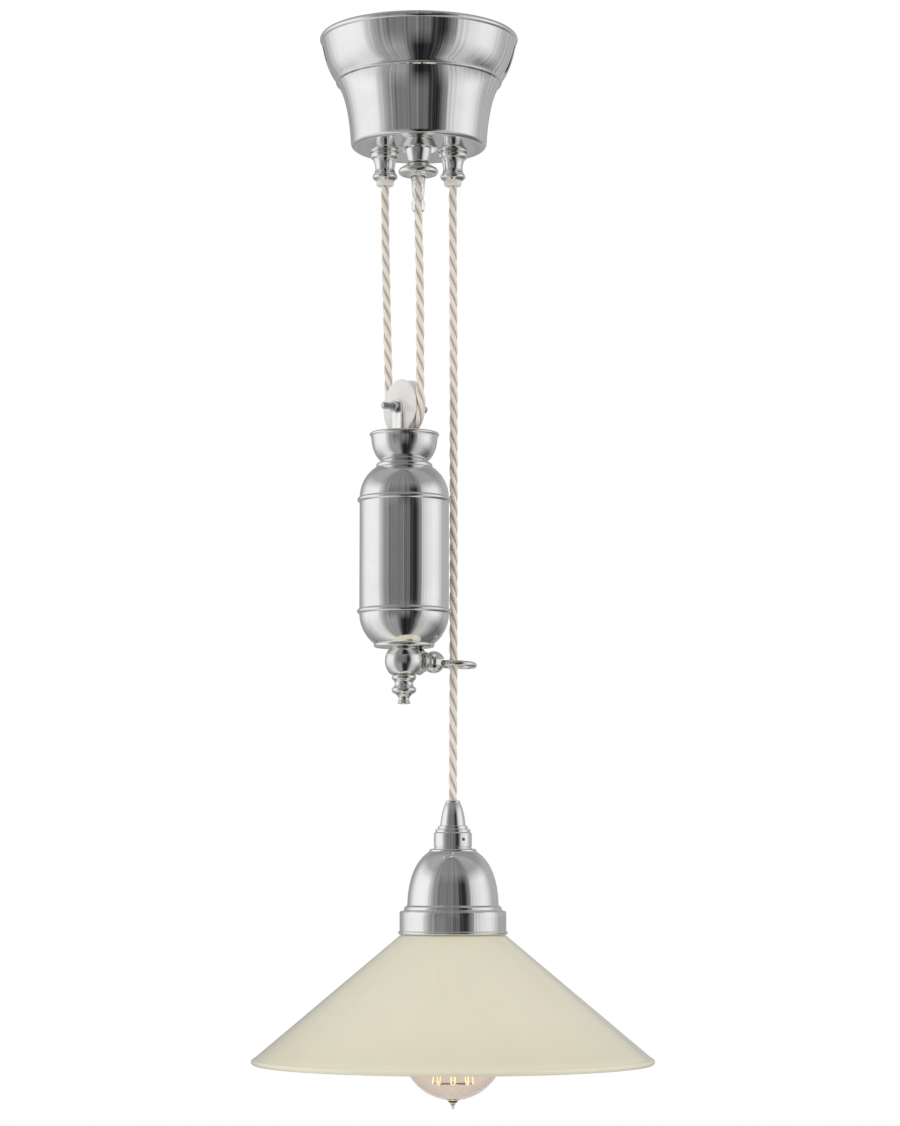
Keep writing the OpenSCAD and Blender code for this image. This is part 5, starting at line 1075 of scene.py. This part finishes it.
tinted = clear_glass("gold tinted glass", (0.90, 0.83, 0.765), (0.80, 0.72, 0.65))
turned("bulb_globe", outer + globe_line(0.9, pi, 60)[::-1], LAMP_AT, tinted, "tinted_glass", "lamp",
       "bulb_glass", steps=144, sharp=50)

cap_line = [(0, BULB_TOP), (4.2, BULB_TOP)] + arc(4.2, BULB_TOP - 0.3, 0.3, 90, 0, 4)
cap_line += [(4.5, BULB_TOP - 1.4), (5.4, BULB_TOP - 1.7), (9.8, BULB_TOP - 4.2)]
cap_line += arc(10.6, BULB_TOP - 5.6, 1.0, 110, 0, 6)
THREAD_PITCH, THREAD_DEPTH = 3.4, 0.9
one_wave = [(THREAD_DEPTH * (1 + cos(2 * pi * k / 10)) / 2, THREAD_PITCH * k / 10) for k in range(10)]
z = BULB_TOP - 6.6
while z > CAP_END + 5.2:
    cap_line += [(NECK_R - cut, z - down) for cut, down in one_wave]
    z -= THREAD_PITCH
cap_line += [(NECK_R - THREAD_DEPTH, z), (NECK_R - 0.3, z - 0.5), (NECK_R, z - 1.2), (NECK_R, CAP_END + 0.3)]
cap_line += [(NECK_R - 0.3, CAP_END), (12.72, CAP_END), (12.72, CAP_END + 2.02)]
cap_line += [(NECK_R - 1.4, CAP_END + 2.02), (NECK_R - 1.4, BULB_TOP - 8), (0, BULB_TOP - 8)]
turned("bulb_screw_cap", cap_line, LAMP_AT, brass, "brass", "lamp", "bulb_cap", steps=96)

STEM_END, DISC_Z = GLOBE_Z - GLOBE_R + 12, CAP_END - 36
stem_line = [(0, BULB_TOP - 8.1), (2.7, BULB_TOP - 8.1), (3, BULB_TOP - 8.5), (3, CAP_END - 4)]
stem_line += curve((3.2, CAP_END - 5), (5.4, CAP_END - 6.4), (6.5, CAP_END - 7.6), (6.5, CAP_END - 9), 10)
stem_line += curve((6.4, CAP_END - 10), (5.2, CAP_END - 11.6), (3.4, CAP_END - 12.6), (3, CAP_END - 14), 10)
stem_line += [(2.6, DISC_Z + 2)] + arc(2.6, DISC_Z, 1.0, 80, -80, 10) + [(1.9, DISC_Z - 2)]
stem_line += [(1.6, STEM_END + 2)] + arc(1.4, STEM_END, 1.0, 70, -70, 10)
stem_line += [(1.5, STEM_END - 1.6), (0.9, STEM_END - 1.95), (0, STEM_END - 2)]
stem_glass = clear_glass("clear stem glass", (0.94, 0.95, 0.95), (0.91, 0.92, 0.92))
turned("bulb_glass_stem", stem_line, LAMP_AT, stem_glass, "clear_glass", "lamp", "bulb_stem", steps=64,
       sharp=50)

# The filament hangs to and fro between a ring of hooks at the disc and a wider one at the button.
LOW_R, HIGH_R, HOOK_R, FILAMENT = 15.0, 10.5, 1.4, 0.6
zigzag = []
for k in range(15):
    a = radians(22.5 * k)
    r, z, up = (LOW_R, STEM_END + HOOK_R, -1) if k % 2 == 0 else (HIGH_R, DISC_Z - HOOK_R, 1)
    for i in range(12, -1, -1):
        b = radians(180 - 15 * i)
        side = -HOOK_R * cos(b)
        zigzag.append((LAMP_AT[0] + r * cos(a) - side * sin(a), LAMP_AT[1] + r * sin(a) + side * cos(a),
                       LAMP_AT[2] + z + up * HOOK_R * sin(b)))


def glowing():
    """A dim carbon filament: orange, nearly yellow in its hotter patches."""
    material, tree, shader = new_material("glowing filament", Roughness=0.6, Emission_Strength=2.2)
    tone = ramp(tree, object_noise(tree, 90.0), (0.35, (1.0, 0.55, 0.18)), (0.65, (1.0, 0.82, 0.46)))
    fill(tree, shader, Emission_Color=tone, Base_Color=tone)
    return material


finish(bent_wire("bulb_filament", zigzag, FILAMENT), glowing(), "filament", "lamp", "filament")
repaint(dark_steel, "filament_supports")

# ---------------------------------------------------------------- studio
# A white room with three soft lamps and a pale floor, clear from below, that mirrors and glass don't
# show. Round it hangs a tent of grey cloths that only mirrors show: dark behind the camera, pale at
# both sides, dimmer towards the floor and an even grey overhead.


def stage_material(name, colour, roughness=0.8):
    """A plain matt material, for what stands round the object."""
    return new_material(name, Roughness=roughness, Base_Color=(*colour, 1))


bpy.ops.object.select_all(action="DESELECT")
bpy.ops.mesh.primitive_plane_add(size=11.0, location=(0, 0, -1.3))
floor = bpy.context.object
floor.name = "stage_floor"
pale_floor, tree, shader = stage_material("pale floor", (0.82, 0.82, 0.81))
# Seen from below the floor is clear, so that the lamp can be looked at from there too.
fill(tree, shader, Alpha=math_node(tree, "SUBTRACT", 1.0, add_node(tree, "NewGeometry")["Backfacing"]))
floor.data.materials.append(pale_floor)
floor.visible_glossy = False
floor.visible_transmission = False

# Azimuths in degrees as seen from above, 0 towards the camera and + to the right, with the cloths'
# tones: those that hang at the object's height, and those that lie on the floor below it
HUNG = ((-180, 0.33), (-150, 0.38), (-138, 0.52), (-126, 0.80), (-112, 0.98), (-85, 1.0), (-70, 0.95),
        (-63, 0.60), (-52, 0.36), (-42, 0.27), (-34, 0.18), (-24, 0.21), (-6, 0.20), (6, 0.17), (15, 0.13),
        (18, 0.04), (33, 0.03), (37, 0.16), (45, 0.28), (48, 0.62), (62, 0.80), (80, 0.95), (94, 0.92),
        (104, 0.74), (120, 0.46), (150, 0.48), (180, 0.33))
LAID = ((-180, 0.62), (-168, 0.52), (-150, 0.28), (-125, 0.52), (-95, 0.95), (-70, 0.88), (-58, 0.44),
        (-20, 0.38), (-11, 0.14), (-4, 0.02), (20, 0.03), (28, 0.08), (36, 0.24), (48, 0.58), (70, 0.68),
        (84, 0.50), (100, 0.28), (115, 0.18), (150, 0.16), (168, 0.50), (180, 0.62))
OVERHEAD = 0.34


def between(tree, a, b, share):
    """A tone between two others."""
    return math_node(tree, "ADD", a, math_node(tree, "MULTIPLY", share, math_node(tree, "SUBTRACT", b, a)))


def tent_cloth():
    """Cloths that glow in the tones above; their folds streak the dark ones and leave the bright smooth."""
    material, tree, shader = stage_material("tent cloths", (0, 0, 0), 1.0)
    x, y, z = add_node(tree, "SeparateXYZ", Vector=add_node(tree, "TexCoord")["Object"])
    around = math_node(tree, "ARCTAN2", x, math_node(tree, "MULTIPLY", y, -1.0))
    turn = math_node(tree, "ADD", math_node(tree, "MULTIPLY", around, 0.5 / pi), 0.5)
    hung, laid = (ramp(tree, turn, *[((azimuth + 180) / 360, tone) for azimuth, tone in cloths])
                  for cloths in (HUNG, LAID))
    folds = add_node(tree, "TexNoise", {"noise_dimensions": "1D"}, W=around, Scale=15.0, Detail=4.0)["Fac"]
    creases = math_node(tree, "ADD", math_node(tree, "MULTIPLY", folds, 1.5), 0.25)
    height = math_node(tree, "ADD", math_node(tree, "MULTIPLY", z, 0.19), 0.6)
    tones = between(tree, hung, laid, ramp(tree, height, (0.0, 1.0), (0.28, 1.0), (0.50, 0.0)))
    tones = between(tree, tones, OVERHEAD, ramp(tree, height, (0.70, 0.0), (0.92, 0.75)))
    levels = ramp(tree, height, (0.0, 0.80), (0.35, 0.92), (0.46, 1.0), (0.72, 1.0), (1.0, 0.85))
    glow = math_node(tree, "MULTIPLY", math_node(tree, "POWER", tones, creases), levels)
    fill(tree, shader, Specular_IOR_Level=0.0, Emission_Color=glow, Emission_Strength=1.0)
    return material


tent = cylinder(96, 2750, 5200)
tent.name = "stage_tent"
tent.data.materials.append(tent_cloth())
tent.visible_camera = False
tent.visible_diffuse = False
tent.visible_transmission = False
tent.visible_shadow = False


def soft_lamp(name, place_at, aim, width, height, power):
    """A large flat lamp that neither the camera nor mirrors see."""
    bpy.ops.object.select_all(action="DESELECT")
    bpy.ops.object.light_add(type="AREA", location=place_at)
    lamp = bpy.context.object
    lamp.name = name
    lamp.rotation_euler = (Vector(aim) - Vector(place_at)).to_track_quat("-Z", "Y").to_euler()
    lamp.data.shape = "RECTANGLE"
    lamp.data.size, lamp.data.size_y = width, height
    lamp.data.energy = power
    lamp.visible_camera = False
    lamp.visible_glossy = False


soft_lamp("soft_lamp_left", (-2.3, -0.9, -0.1), (0, 0, -0.45), 1.6, 2.2, 14)
soft_lamp("soft_lamp_right", (2.3, -0.8, -0.1), (0, 0, -0.45), 1.6, 2.2, 11)
soft_lamp("soft_lamp_above", (0.2, -0.9, 1.9), (0, 0, -0.4), 1.6, 1.2, 9)

world = bpy.data.worlds.new("white room")
bpy.context.scene.world = world
world.use_nodes = True
room = world.node_tree
back = room.nodes["Background"]
back.inputs["Color"].default_value = (1, 1, 1, 1)
path = room.nodes.new("ShaderNodeLightPath")
seen = math_node(room, "MAXIMUM", path.outputs["Is Camera Ray"], path.outputs["Is Glossy Ray"])
seen = math_node(room, "MAXIMUM", seen, path.outputs["Is Transmission Ray"])
room.links.new(math_node(room, "ADD", math_node(room, "MULTIPLY", seen, 0.26), 0.74), back.inputs["Strength"])
bpy.context.scene.view_settings.view_transform = "Standard"
